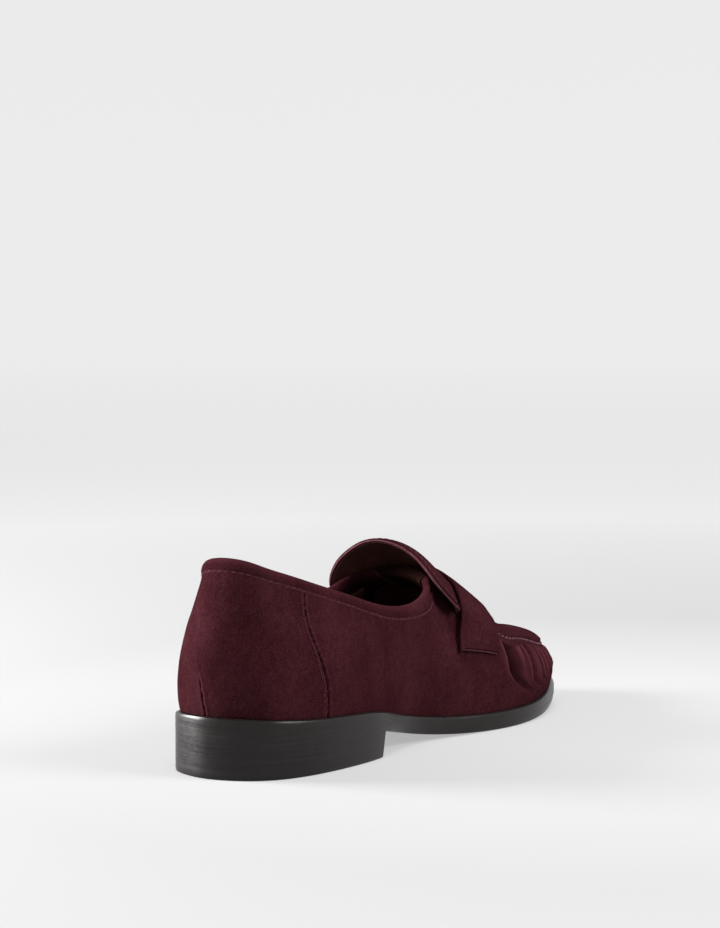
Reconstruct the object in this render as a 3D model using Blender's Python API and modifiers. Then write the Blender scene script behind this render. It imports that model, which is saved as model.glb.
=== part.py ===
"""Penny loafer, right shoe, in suede with a wide saddle strap and a gathered toe wall.

Lengths in this file are millimetres until a mesh is made. While shaping, x runs from the heel's back
(0) to the toe, y points to the medial side, and z is up from the floor. Every mesh is then moved by
ORIGIN, so that the finished shoe stands on z = 0 with the middle of its box at the origin.
"""
import math

import bmesh
import bpy
import numpy as np

MM = 0.001
GAP = 0.35                       # clearance kept between neighbouring pieces

# The sole's edge seen from above: index 0 is the heel's back and TIP is the toe.
RIM_LATERAL = [(0, 0), (2, -12), (8, -22), (18, -29), (35, -33.8), (59, -36), (82, -35), (105, -31.2),
               (128, -33), (150, -38.7), (171, -43.3), (191, -44.3), (210, -41.4), (229, -34.8),
               (247, -25.7), (261, -13.2), (268, 4.5)]
RIM_MEDIAL = [(0, 0), (2.8, 10.8), (9, 20.8), (19.6, 25.9), (37, 28.1), (60, 26.5), (83, 23.3), (106, 22.7),
              (129, 28), (151, 37), (172, 44), (192, 46.6), (211, 45), (229, 40.5), (246, 33.5),
              (260, 22.5), (268, 4.5)]
RIM_HEIGHT = [(0, 25), (35, 22.2), (80, 18.9), (105, 13.8), (135, 9.2), (175, 7.7), (225, 9.8), (268, 14.2)]
RIM = RIM_LATERAL + RIM_MEDIAL[-2:0:-1]
TIP = 16                         # index of the toe tip; the medial side counts on to 2 * TIP
LAP = 2 * TIP
SMALL_STEP = 0.02                # index step for reading a curve's direction

# The middle line of the upper (x, y), and its two top edges as (x, half width, z).
CENTRE_LINE = [(0, -1.5), (60, -2), (100, -2.5), (130, -2), (165, 0), (210, 2), (268, 4.5)]
TOPLINE = [(11.5, 0, 88.5), (14, 9.5, 87.3), (21, 16, 84), (32.5, 19.6, 80.2), (48, 22, 75.3),
           (67, 25, 69.3), (86, 27.5, 63.5), (106, 28, 61), (126, 25, 62.6), (146, 14.5, 70)]
SEAM = [(146, 14.5, 70), (164, 25, 54.5), (183, 33, 39.3), (202, 33.3, 35.2), (220, 31.5, 31.2),
        (237, 27, 28), (252, 17.5, 27), (259.5, 0, 27)]
CORNER = 9                       # index where the topline meets the apron seam
THROAT = [(139, 20.5, 67.2), (147.5, 11.5, 70.3), (150.5, 0, 71.4)]   # the opening's front, lateral half
THROAT_INDEX = 11
OPENING_LAP = 2 * THROAT_INDEX

# How far the side wall swells out low down and leans out below its top edge, by index.
BULGE = [(0, 5.6), (3, 5.0), (5, 3.4), (8, 3.5), (11, 4.5), (14, 4.0), (16, 3.6)]
LEAN = [(0, 2.2), (3, 2.2), (5, 3.0), (8, 4.0), (9, 8.0), (11, 10.0), (12.5, 6.5), (14, 3.0), (16, 2.5)]
RIDGE = [(151, 71.4), (165, 64.8), (180, 52.2), (195, 42.4), (210, 38.2), (225, 35.9), (240, 33.9)]
RIDGE_START, RIDGE_END = RIDGE[0][0], RIDGE[-1][0]
APRON_ROUNDNESS = 2.6
SEAM_PUFF = [(9, 0), (11, 0.2), (12.5, 1.6), (16, 2.2)]

# Sole layers, from the rim of the sole's edge.
FEATHER_INSET = 2.0              # the upper meets the welt this far inside the edge
WELT_THICK, WELT_WIDTH = 3.0, 10.0
OUTSOLE_THICK = 4.2
MARGIN = 9.0                     # lasting margin, turned in under the insole
INSOLE_THICK, FOAM_THICK, SOCK_THICK = 1.4, 1.2, 0.8
INSOLE_INSET, FOAM_INSET, SOCK_INSET = 4.2, 6.4, 7.0
FILLER_INSET = 12.6
TOP_PIECE_THICK = 5.0
LIFT_COUNT = 3
HEEL_INSET = 0.3
HEEL_END = 5.93                  # index of the heel's breast
BREAST_HOLLOW = 2.5
HEEL_SLANT, HEEL_TOP = 2.8, 13.0  # the breast leans forwards this much over this height
NAIL_RADIUS, NAIL_HEAD_RADIUS, NAIL_HEAD_THICK = 1.1, 2.4, 0.9
NAIL_TIP_Z = 7.0
NAIL_SPOTS = [(18, 0), (34, 13), (34, -17), (58, 12), (58, -19)]
SHANK_X = (28.0, 146.0)
SHANK_WIDTH, SHANK_THICK = 13.0, 1.4

# Upper materials.
SUEDE, STIFFENER, LINING = 1.2, 1.1, 0.8
STIFFENER_DEPTH = 1.6
LINING_DEPTH = 3.2
LINING_SPLIT = 6.4               # index where the heel's lining meets the forepart's
COUNTER_END, PUFF_START = 5.0, 12.6
FOOTBED_HEIGHT = 4.2             # the inside layers start this far above the sole's edge
SIDE_SEAM = [(0.0, 4.22), (0.28, 4.05), (0.45, 3.78), (0.62, 3.47), (1.0, 3.42)]   # (height share, index)
SIDE_SEAM_TOP = SIDE_SEAM[-1][1]
SEAM_GAP = 0.018                 # half the gap between quarter and vamp, in index units
BAND_WIDTH = [(0, 6.8), (6, 6.8), (7.5, 7.6), (8.6, 9.0), (9.4, 8.5), (10, 6.0), (11, 4.6)]
BAND_INNER = [(0, 10), (5, 9.5), (6.5, 7.8), (9, 7.2), (11, 6)]
BAND_STEEPNESS = [(0, 75), (6, 76), (8, 68), (9, 55), (10, 38), (11, 25)]          # degrees below level

# The saddle strap's edges as (height share w, index): w is 0 to 1 up the wall, 1 to 2 over the apron.
STRAP_REAR = [(0.4, 8.82), (0.52, 9.04), (0.62, 9.24), (0.72, 9.40), (0.9, 9.57), (1.2, 9.69), (2, 9.79)]
STRAP_FRONT = [(0.46, 10.07), (0.55, 10.18), (0.64, 10.28), (0.78, 10.46), (1.0, 10.76), (1.5, 11.6),
               (2, 12.0)]
STRAP_LOW_REAR, STRAP_LOW_FRONT = 0.430, 0.480
STRAP_THICK = 1.3
TONGUE_LOW = 0.74                # the tongue's wings reach down to here under the strap
TONGUE_THICK = 1.1
# The tongue's free edge from the lateral wing over the crown to the medial wing.
TONGUE_EDGE = [(149.5, -32.2, 55), (143, -31, 60), (137, -28, 67), (135.8, -22, 74.5), (135.3, -15.5, 80),
               (133.5, -8, 83.8), (131, 0, 85.2), (130, 8, 83.2), (131, 15.8, 78.5), (133.5, 22.3, 73),
               (137.5, 27.8, 66), (143, 30.9, 60), (149.5, 32.6, 55)]
TONGUE_RISE = 13.0              # how far the flap bows up between its root and its edge, times 4

THREAD_RADIUS = 0.35
APRON_THREAD_START = 10.9        # index where the thread comes out from under the strap
COLLAR_THREAD_END = 9.1          # opening index where the collar's stitching ends, beside the strap

SUEDE_COLOR = (0.045, 0.013, 0.016)
EDGE_BLACK = (0.018, 0.015, 0.015)
LINING_COLOR = (0.012, 0.007, 0.006)
TAN = (0.42, 0.28, 0.16)
CORK = (0.30, 0.19, 0.11)
STEEL = (0.55, 0.55, 0.56)
FOAM = (0.55, 0.50, 0.42)
FELT = (0.33, 0.30, 0.27)
THREAD = (0.10, 0.045, 0.045)


# ---------------------------------------------------------------- curves

def natural(rows, at):
    """A natural cubic spline through rows of (parameter, values...), read at the given parameters."""
    rows = np.asarray(rows, float)
    knots, values = rows[:, 0], rows[:, 1:]
    step = np.diff(knots)
    count = len(knots)
    matrix = np.eye(count)
    right = np.zeros_like(values)
    for i in range(1, count - 1):
        matrix[i, i - 1:i + 2] = step[i - 1], 2 * (step[i - 1] + step[i]), step[i]
        right[i] = 6 * ((values[i + 1] - values[i]) / step[i] - (values[i] - values[i - 1]) / step[i - 1])
    bend = np.linalg.solve(matrix, right)
    at = np.atleast_1d(np.asarray(at, float))
    i = np.clip(np.searchsorted(knots, at) - 1, 0, count - 2)
    w = ((at - knots[i]) / step[i])[:, None]
    square = step[i][:, None] ** 2 / 6
    return (values[i] * (1 - w) + values[i + 1] * w
            + square * (((1 - w) ** 3 - (1 - w)) * bend[i] + (w ** 3 - w) * bend[i + 1]))


def along(rows, at):
    """A one-value spline held at its end values outside its range."""
    rows = np.asarray(rows, float)
    return natural(rows, np.clip(at, rows[0, 0], rows[-1, 0]))[:, 0]


def closed_curve(points, at):
    """A smooth closed curve through points, read at index parameters."""
    points = np.asarray(points, float)
    count = len(points)
    wrapped = np.vstack([points[-4:], points, points[:5]])
    return natural(np.column_stack([np.arange(-4, count + 5), wrapped]), np.mod(at, count))


def fold(u):
    """Index u as a distance from the heel's back, and -1 on the lateral or 1 on the medial side."""
    u = np.mod(u, LAP)
    return np.where(u <= TIP, u, LAP - u), np.where(u <= TIP, -1.0, 1.0)


def unit(vectors):
    return vectors / np.linalg.norm(vectors, axis=1)[:, None]


# ---------------------------------------------------------------- the shoe's surfaces

def rim(u, inset=0.0):
    """The sole's edge in plan, moved inwards by inset."""
    return closed_curve(RIM, u) - outward(u) * inset


def outward(u):
    """The level direction out of the shoe, square to the sole's edge."""
    u = np.asarray(u, float)
    run = unit(closed_curve(RIM, u + SMALL_STEP) - closed_curve(RIM, u - SMALL_STEP))
    return np.column_stack([run[:, 1], -run[:, 0]])


def rim_z(x):
    """Height of the top of the sole's edge."""
    return along(RIM_HEIGHT, x)


def centre_y(x):
    return along(CENTRE_LINE, x)


def top_edge(u):
    """Where the side wall ends: the topline, and from CORNER on the apron seam."""
    s, side = fold(u)
    rear = [(k, x, half, z) for k, (x, half, z) in enumerate(TOPLINE)]
    rear = [(-k, x, -half, z) for k, x, half, z in rear[3:0:-1]] + rear
    front = [(CORNER + k, x, half, z) for k, (x, half, z) in enumerate(SEAM)]
    front = front + [(LAP - k, x, -half, z) for k, x, half, z in front[-2:-5:-1]]
    edge = np.where((s <= CORNER)[:, None], natural(rear, np.clip(s, 0, CORNER)),
                    natural(front, np.clip(s, CORNER, TIP)))
    return np.column_stack([edge[:, 0], centre_y(edge[:, 0]) + side * edge[:, 1], edge[:, 2]])


def wall(u, v):
    """The outside of the upper's side: v is 0 on the welt and 1 at the top edge."""
    u, v = np.broadcast_arrays(np.asarray(u, float), np.asarray(v, float))
    s, _ = fold(u)
    foot = rim(u, FEATHER_INSET)
    foot = np.column_stack([foot, rim_z(foot[:, 0]) + GAP])
    top = top_edge(u)
    out = np.column_stack([outward(u), np.zeros(len(u))])
    rise = np.outer(top[:, 2] - foot[:, 2], (0, 0, 1))
    low = foot + out * along(BULGE, s)[:, None] + rise * 0.4
    high = top + out * along(LEAN, s)[:, None] - rise * 0.25
    v = v[:, None]
    return foot * (1 - v) ** 3 + 3 * low * v * (1 - v) ** 2 + 3 * high * v ** 2 * (1 - v) + top * v ** 3


def ridge(x):
    return np.column_stack([x, centre_y(x), along(RIDGE, x)])


def apron(u, r):
    """The top of the vamp: r is 0 at the apron seam and 1 on the ridge."""
    u, r = np.broadcast_arrays(np.clip(np.asarray(u, float), CORNER, LAP - CORNER), np.asarray(r, float))
    s, _ = fold(u)
    edge = top_edge(u)
    share = (s - CORNER) / (TIP - CORNER)
    crest = ridge(RIDGE_START + (RIDGE_END - RIDGE_START) * share)
    r = r[:, None]
    point = edge * (1 - r) + crest * r
    left = np.maximum(1 - r, 0)
    rise = 1 - left ** APRON_ROUNDNESS
    puff = along(SEAM_PUFF, s)[:, None] * (1 - left ** 9) * left
    point[:, 2:3] = edge[:, 2:3] + (crest[:, 2:3] - edge[:, 2:3]) * rise + puff
    return point


def over(u, w):
    """Wall and apron as one surface: w is 0 to 1 up the wall and 1 to 2 over the apron."""
    u, w = np.broadcast_arrays(np.asarray(u, float), np.asarray(w, float))
    return np.where((w <= 1)[:, None], wall(u, np.minimum(w, 1)), apron(u, np.maximum(w - 1, 0)))


def inside(surface, u, v, depth):
    """A point of a surface moved into the shoe by depth, square to the surface."""
    u, v = np.broadcast_arrays(np.asarray(u, float), np.asarray(v, float))
    small = 0.004
    across = surface(u + small, v) - surface(u - small, v)
    upwards = surface(u, v + small) - surface(u, v - small)
    return surface(u, v) - unit(np.cross(across, upwards)) * np.reshape(depth, (-1, 1))


def share_at_height(u, height):
    """The wall's v where it stands height above the sole's edge."""
    steps = np.linspace(0, 1, 60)
    column = wall(np.full(len(steps), u), steps)
    return float(np.interp(height, column[:, 2] - rim_z(column[:1, 0]), steps))


def share_below_top(u, distance):
    """The wall's v at a distance down from its top edge."""
    steps = np.linspace(0.3, 1, 60)
    column = wall(np.full(len(steps), u), steps)
    return float(np.interp(-distance, -np.linalg.norm(column - column[-1], axis=1), steps))


# ---------------------------------------------------------------- meshes

def clear_scene():
    for thing in list(bpy.data.objects):
        bpy.data.objects.remove(thing)


def material(name, color, roughness=0.8, metallic=0.0):
    made = bpy.data.materials.get(name) or bpy.data.materials.new(name)
    made.use_nodes = True
    shader = made.node_tree.nodes["Principled BSDF"]
    shader.inputs["Base Color"].default_value = (*color, 1)
    shader.inputs["Roughness"].default_value = roughness
    shader.inputs["Metallic"].default_value = metallic
    return made


def origin():
    """The middle of the sole's plan box, which is the whole shoe's."""
    plan = rim(np.linspace(0, LAP, SOLE_ROWS * 2, endpoint=False))
    return np.array([*(plan.min(axis=0) + plan.max(axis=0)) / 2, 0.0])


def add_object(name, mesh, finish, collection="penny_loafer"):
    made = bpy.data.objects.new(name, mesh)
    made.data.materials.append(finish)
    bpy.data.collections[collection].objects.link(made)
    return made


def loft(name, sections, finish, ring=False, lap=False):
    """A surface through rows of points. ring closes each row, and lap joins the last row to the first.

    Rings without lap get a face at each end, so they are solid.
    """
    points = np.asarray(sections, float)
    rows, columns = points.shape[:2]
    shape = bmesh.new()
    corners = [[shape.verts.new((p - ORIGIN) * MM) for p in row] for row in points]
    for i in range(rows if lap else rows - 1):
        for j in range(columns if ring else columns - 1):
            following, beside = (i + 1) % rows, (j + 1) % columns
            near, far = corners[i], corners[following]
            shape.faces.new((near[j], far[j], far[beside], near[beside]))
    if ring and not lap:
        shape.faces.new(corners[0])
        shape.faces.new(corners[-1][::-1])
    bmesh.ops.remove_doubles(shape, verts=shape.verts, dist=0.00002)
    bmesh.ops.dissolve_degenerate(shape, edges=shape.edges, dist=0.000005)
    if ring:
        bmesh.ops.recalc_face_normals(shape, faces=shape.faces)
    mesh = bpy.data.meshes.new(name)
    shape.to_mesh(mesh)
    shape.free()
    mesh.shade_smooth()
    return add_object(name, mesh, finish)


def shell(name, sections, thickness, finish, lap=False):
    """A sheet through rows of points, thickened into the shoe."""
    made = loft(name, sections, finish, lap=lap)
    solid = made.modifiers.new("thickness", "SOLIDIFY")
    solid.thickness = thickness * MM
    solid.offset = -1.0
    solid.use_even_offset = True
    return made


def plate(name, finish, inset, low, high, start=0.0, end=TIP, rows=None, across=4, hollow=0.0, slant=0.0):
    """A sole layer: pairs of rim points joined across, between the heights low(x) and high(x)."""
    sections = []
    spread = np.linspace(0, 1, across + 1)[:, None]
    for s in np.linspace(start, end, rows or SOLE_ROWS):
        sides = rim(np.array([s, LAP - s]), inset)
        row = sides[:1] * (1 - spread) + sides[1:] * spread
        front = (s / end) ** 10
        row[:, 0] -= hollow * front * 4 * (spread * (1 - spread))[:, 0]
        faces = []
        for height in (high, low):
            face = row.copy()
            face[:, 0] += slant * front * (height(row[:, 0]) / HEEL_TOP - 0.1)
            faces.append(np.column_stack([face, height(face[:, 0])]))
        sections.append(np.vstack([faces[0], faces[1][::-1]]))
    return loft(name, sections, finish, ring=True)


def tube(name, points, radius, finish):
    """A thin round cord through points, as a curve with a bevel."""
    curve = bpy.data.curves.new(name, "CURVE")
    curve.dimensions = "3D"
    curve.bevel_depth = radius * MM
    curve.bevel_resolution = 0
    curve.use_fill_caps = True
    spline = curve.splines.new("POLY")
    spline.points.add(len(points) - 1)
    for spot, p in zip(spline.points, points):
        spot.co = (*(np.asarray(p) - ORIGIN) * MM, 1)
    return add_object(name, curve, finish)


# ---------------------------------------------------------------- the sole

SOLE_ROWS = 33
ORIGIN = origin()


def outsole_top(x):
    return rim_z(x) - WELT_THICK - GAP


def outsole_bottom(x):
    return outsole_top(x) - OUTSOLE_THICK


def stack_height(x, level):
    """The heel stack's layer borders: 0 is the top piece's upper face and LIFT_COUNT the outsole."""
    return TOP_PIECE_THICK + GAP + (outsole_bottom(x) - TOP_PIECE_THICK - 2 * GAP) * level / LIFT_COUNT


def make_sole(leather, rubber, edge_leather):
    outsole = plate("outsole", edge_leather, 0.0, outsole_bottom, outsole_top)
    welt_rows = []
    for u in np.linspace(0, LAP, 2 * SOLE_ROWS - 2, endpoint=False):
        outer, inner = rim([u])[0], rim([u], WELT_WIDTH)[0]
        top_outer, top_inner = rim_z(outer[:1])[0], rim_z(inner[:1])[0]
        welt_rows.append([(*outer, top_outer), (*inner, top_inner),
                          (*inner, top_inner - WELT_THICK), (*outer, top_outer - WELT_THICK)])
    loft("welt", welt_rows, edge_leather, ring=True, lap=True)

    def floor(x):
        return np.zeros(len(x))

    def top_piece_top(x):
        return np.full(len(x), TOP_PIECE_THICK)

    def heel_layer(name, finish, low, high):
        return plate(name, finish, HEEL_INSET, low, high, 0.0, HEEL_END, 13, 4, BREAST_HOLLOW, HEEL_SLANT)

    heel_layer("heel_top_piece", rubber, floor, top_piece_top)
    cutter = nail_holes()
    for level in range(LIFT_COUNT):
        def low(x, level=level):
            return stack_height(x, level) + (GAP if level else 0)

        def high(x, level=level):
            return stack_height(x, level + 1)

        cut(heel_layer(f"heel_lift_{level + 1}", leather, low, high), cutter)
    cut(outsole, cutter)


def cut(target, cutter):
    holes = target.modifiers.new("nail holes", "BOOLEAN")
    holes.operation = "DIFFERENCE"
    holes.object = cutter


def nail_holes():
    """One cutter with a cylinder for each heel nail."""
    shape = bmesh.new()
    length = 28.0
    for x, y in NAIL_SPOTS:
        made = bmesh.ops.create_cone(shape, cap_ends=True, segments=8, radius1=(NAIL_RADIUS + GAP) * MM,
                                     radius2=(NAIL_RADIUS + GAP) * MM, depth=length * MM)
        centre = (np.array([x, y, NAIL_TIP_Z - GAP + length / 2]) - ORIGIN) * MM
        bmesh.ops.translate(shape, verts=made["verts"], vec=centre)
    mesh = bpy.data.meshes.new("nail_holes")
    shape.to_mesh(mesh)
    shape.free()
    cutter = bpy.data.objects.new("nail_holes", mesh)
    cutter.hide_render = True
    cutter.display_type = "WIRE"
    bpy.data.collections["cutters"].objects.link(cutter)
    return cutter


def make_nails(steel):
    """Heel nails, driven from above through the outsole into the stack, as turned profiles."""
    for number, (x, y) in enumerate(NAIL_SPOTS, 1):
        seat = outsole_top(np.array([x]))[0] + GAP
        top = seat + NAIL_HEAD_THICK
        profile = [(0, top), (NAIL_HEAD_RADIUS, top), (NAIL_HEAD_RADIUS, seat), (NAIL_RADIUS, seat - 0.1),
                   (NAIL_RADIUS, NAIL_TIP_Z + 3), (0, NAIL_TIP_Z)]
        mesh = bpy.data.meshes.new(f"heel_nail_{number}")
        mesh.from_pydata([(r * MM, 0, z * MM) for r, z in profile], [(i, i + 1) for i in range(5)], [])
        nail = add_object(f"heel_nail_{number}", mesh, steel)
        nail.location = (*(np.array([x, y]) - ORIGIN[:2]) * MM, 0)
        turn = nail.modifiers.new("turned", "SCREW")
        turn.steps = turn.render_steps = 8
        turn.use_merge_vertices = True
        turn.merge_threshold = 0.00001


def make_bottom_inside(board, foam, sock, cork, steel):
    """The layers between outsole and foot: filler, shank, insole board, foam and sock."""
    def above_margin(x):
        return rim_z(x) + 2 * GAP + SUEDE

    def insole_top(x):
        return above_margin(x) + INSOLE_THICK

    def foam_bottom(x):
        return insole_top(x) + GAP

    def foam_top(x):
        return foam_bottom(x) + FOAM_THICK

    def sock_bottom(x):
        return foam_top(x) + GAP

    def sock_top(x):
        return sock_bottom(x) + SOCK_THICK

    def filler_bottom(x):
        return outsole_top(x) + GAP

    plate("insole_board", board, INSOLE_INSET, above_margin, insole_top)
    plate("footbed_foam", foam, FOAM_INSET, foam_bottom, foam_top)
    plate("sock_lining", sock, SOCK_INSET, sock_bottom, sock_top)
    plate("bottom_filler", cork, FILLER_INSET, filler_bottom, rim_z, 9.4, 14.6, 11)
    rows = []
    for x in np.linspace(*SHANK_X, 14):
        base = outsole_top(np.array([x]))[0] + 2 * GAP + NAIL_HEAD_THICK
        y = centre_y([x])[0] - 2
        half = SHANK_WIDTH / 2
        rows.append([(x, y - half, base), (x, y - half, base + SHANK_THICK),
                     (x, y + half, base + SHANK_THICK), (x, y + half, base)])
    loft("shank", rows, steel, ring=True)


# ---------------------------------------------------------------- the upper

def wall_column(u, low, high, depth, count):
    """Points up the wall at one index, from share low to high."""
    return inside(wall, np.full(count, u), np.linspace(low, high, count), depth)


def lasted(index, shares):
    """A column of the upper's outside whose first point turns in under the insole."""
    points = wall(index, shares)
    edge = rim(index[:1], FEATHER_INSET + MARGIN)[0]
    points[0] = (*edge, rim_z(edge[:1])[0] + GAP)
    return points


def band_share(u):
    """The highest share v of the wall at index u that stays clear of the collar band."""
    shares = np.linspace(0.4, 0.985, 80)
    column = wall(np.full(len(shares), u), shares)
    c = np.linspace(0, OPENING_LAP, 220, endpoint=False)
    distance = np.linalg.norm(column[:, None] - opening(c)[None], axis=2)
    nearest = np.argmin(distance, axis=1)
    width = along(BAND_WIDTH, np.minimum(c, OPENING_LAP - c)[nearest])
    clear = distance.min(axis=1) > width + 0.15
    return float(shares[clear][-1])


def make_quarters(suede):
    """The two back pieces, from the back seam to the side seams."""
    for name, side in (("quarter_lateral", 1), ("quarter_medial", -1)):
        columns = []
        for k in np.linspace(0, 1, 9):
            shares = np.concatenate([[0], np.linspace(0, band_share(SIDE_SEAM_TOP * k), 8)])
            seam = along(SIDE_SEAM, shares) - SEAM_GAP
            index = SEAM_GAP + (seam - SEAM_GAP) * k
            columns.append(lasted(index * side, shares))
        shell(name, columns[::side], SUEDE, suede)


def make_vamp(suede):
    """The long U-shaped wall from one side seam round the toe to the other."""
    columns = []
    for k in np.linspace(-1, 1, 49):
        shares = np.concatenate([[0], np.linspace(0, band_share(TIP + k * (TIP - SIDE_SEAM_TOP)), 7)])
        reach = TIP - along(SIDE_SEAM, shares) - SEAM_GAP
        columns.append(lasted(TIP + k * reach, shares))
    shell("vamp", columns, SUEDE, suede)


def dome(start, rows, low, depth, columns=27):
    """Columns of the apron round the toe, each from the seam to the ridge, where both sides meet."""
    shares = np.linspace(low, 1, rows)
    indices = np.linspace(start, LAP - start, columns)
    sheet = np.array([inside(apron, np.full(rows, u), shares, depth) for u in indices])
    sheet[:, -1] = apron(indices, 1.0) - (0, 0, depth)
    return sheet


def make_apron(suede, lining):
    shell("apron", dome(9.4, 6, 0.035, 0.0), SUEDE, suede)
    shell("apron_lining", dome(9.95, 5, 0.12, 2.0), LINING, lining)


def make_stiffeners(stiffener):
    """Heel counter and toe puff, between suede and lining."""
    columns = []
    for u in np.linspace(-COUNTER_END, COUNTER_END, 21):
        high = 0.66 - 0.3 * (u / COUNTER_END) ** 2
        columns.append(wall_column(u, share_at_height(u, FOOTBED_HEIGHT), high, STIFFENER_DEPTH, 6))
    shell("heel_counter", columns, STIFFENER, stiffener)
    columns = []
    for u in np.linspace(PUFF_START, LAP - PUFF_START, 17):
        columns.append(wall_column(u, share_at_height(u, FOOTBED_HEIGHT), 0.9, STIFFENER_DEPTH, 4))
    shell("toe_puff", columns, STIFFENER, stiffener)


def make_linings(lining):
    """The leather inside the heel and the forepart, from the footbed up to the collar band."""
    columns = []
    for u in np.linspace(-LINING_SPLIT, LINING_SPLIT, 27):
        high = share_below_top(u, along(BAND_INNER, [abs(u)])[0] + 1.0)
        columns.append(wall_column(u, share_at_height(u, FOOTBED_HEIGHT), high, LINING_DEPTH, 6))
    shell("quarter_lining", columns, LINING, lining)
    columns = []
    front = LINING_SPLIT + 0.06
    for u in np.linspace(front, LAP - front, 39):
        s = fold(np.array([u]))[0][0]
        inner = along(BAND_INNER, [s])[0] + 1.6
        high = share_below_top(u, inner) if s < CORNER else 0.9 - 0.12 * max(0, 10 - s)
        columns.append(wall_column(u, share_at_height(u, FOOTBED_HEIGHT), high, LINING_DEPTH, 4))
    shell("vamp_lining", columns, LINING, lining)


def opening(c):
    """The edge of the foot opening: index 0 at the heel and THROAT_INDEX at the throat."""
    half = [(x, w, z) for x, w, z in TOPLINE[:CORNER] + THROAT]
    ring = [(x, centre_y([x])[0] - w, z) for x, w, z in half]
    ring += [(x, centre_y([x])[0] + w, z) for x, w, z in half[-2:0:-1]]
    return closed_curve(ring, c)


def band_frame(c):
    """At index c of the opening: its edge point, the way down the upper, and the way out of it."""
    s = min(c % OPENING_LAP, -c % OPENING_LAP)
    edge = opening([c])[0]
    run = unit(opening([c + SMALL_STEP])[:, :2] - opening([c - SMALL_STEP])[:, :2])[0]
    plan = np.array([run[1], -run[0], 0])
    steep = math.radians(along(BAND_STEEPNESS, [s])[0])
    up = np.array([0, 0, 1.0])
    away = plan * math.cos(steep) - up * math.sin(steep)
    out = plan * math.sin(steep) + up * math.cos(steep)
    return s, edge, away, out


def make_collar(suede, foam):
    """The folded band round the foot opening and the soft core inside it."""
    band_rows, core_rows = [], []
    for c in np.linspace(0, OPENING_LAP, 56, endpoint=False):
        s, edge, away, out = band_frame(c)
        width = along(BAND_WIDTH, [s])[0] - 0.45
        inner = along(BAND_INNER, [s])[0]
        outside = [(width, 0), (width / 2, 0.7), (0.6, 0.2), (0, -1.9), (0.6, -3.7), (inner / 2, -4.2),
                   (inner, -4.0)]
        inside_fold = [(inner, -3.2), (inner / 2, -3.4), (1.1, -1.9), (width / 2, -0.25), (width, -0.9)]
        band_rows.append([edge + away * a + out * o for a, o in outside + inside_fold])
        low = min(width, inner) - 0.9
        core = [(2.7, -1.2), (low, -1.35), (low, -2.6), (2.7, -2.1)]
        core_rows.append([edge + away * a + out * o for a, o in core])
    loft("collar_band", band_rows, suede, ring=True, lap=True)
    loft("collar_foam", core_rows, foam, ring=True, lap=True)


def saddle_index(rows, steps):
    """An edge of the strap, level where it crosses the ridge at w = 2."""
    return along(rows + [(4 - w, u) for w, u in rows[-2::-1]], steps)


def saddle_row(share, low, lift_low, lift_high, count):
    """A row over the instep from the lateral to the medial side; share is 0 at the strap's rear edge."""
    steps = np.linspace(low, 2, count)
    index = saddle_index(STRAP_REAR, steps) * (1 - share) + saddle_index(STRAP_FRONT, steps) * share
    lift = np.interp(steps, [0.55, 0.7], [lift_low, lift_high])
    lateral = inside(over, index, steps, -lift)
    medial = inside(over, LAP - index, steps, -lift)
    middle = (lateral[-1:] + medial[-1:]) / 2
    return np.vstack([lateral[:-1], middle, medial[-2::-1]])


def make_strap(suede):
    """The saddle strap over the tongue's base."""
    flat_lift = GAP + STRAP_THICK
    raised_lift = flat_lift + GAP + TONGUE_THICK
    rows = []
    for k in np.linspace(0, 1, 5):
        lift = np.interp(k, [0.75, 1], [raised_lift, flat_lift])
        low = STRAP_LOW_REAR + (STRAP_LOW_FRONT - STRAP_LOW_REAR) * k
        rows.append(saddle_row(k, low, flat_lift, lift, 12))
    shell("strap", rows[::-1], STRAP_THICK, suede)
    base_lift = GAP + TONGUE_THICK
    rows = [saddle_row(k, TONGUE_LOW, base_lift, base_lift, 8) for k in np.linspace(0.04, 0.62, 3)]
    shell("tongue_base", rows[::-1], TONGUE_THICK, suede)


def tongue_rows(depth):
    """The tongue's flap: from its root behind the strap's rear edge to its free edge."""
    edge = np.asarray(TONGUE_EDGE, float)
    count = 15
    root_lift = 3 * GAP + TONGUE_THICK + LINING
    root = saddle_row(-0.06, TONGUE_LOW, root_lift, root_lift, 8)
    spread = np.linspace(0, 1, len(edge))
    free = natural(np.column_stack([spread, edge]), np.linspace(0, 1, count))
    crown = np.sin(np.linspace(0, math.pi, count))[:, None]
    rows = []
    for k in np.linspace(0, 1, 6):
        row = root * (1 - k) + free * k
        row += crown * np.array([0, 0, 1.0]) * TONGUE_RISE * k * (1 - k)
        rows.append(row)
    rows = np.array(rows)
    if depth:
        down = np.cross(np.gradient(rows, axis=0), np.gradient(rows, axis=1))
        down /= np.linalg.norm(down, axis=2)[..., None]
        rows = rows + down * depth
    return rows


def make_tongue(suede, lining):
    shell("tongue", tongue_rows(0.0)[::-1], TONGUE_THICK, suede)
    shell("tongue_lining", tongue_rows(TONGUE_THICK + GAP)[::-1], LINING, lining)


def make_threads(thread):
    """The apron seam's thread and the collar band's lower stitch line, each as one cord."""
    seam = inside(wall, np.linspace(APRON_THREAD_START, LAP - APRON_THREAD_START, 36), 0.99, -0.75)
    tube("apron_thread", seam, THREAD_RADIUS, thread)
    stitch = []
    for c in np.linspace(-COLLAR_THREAD_END, COLLAR_THREAD_END, 47):
        s, edge, away, out = band_frame(c)
        width = along(BAND_WIDTH, [s])[0]
        stitch.append(edge + away * (width - 1.6) + out * 0.85)
    tube("collar_thread", stitch, THREAD_RADIUS, thread)


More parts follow.
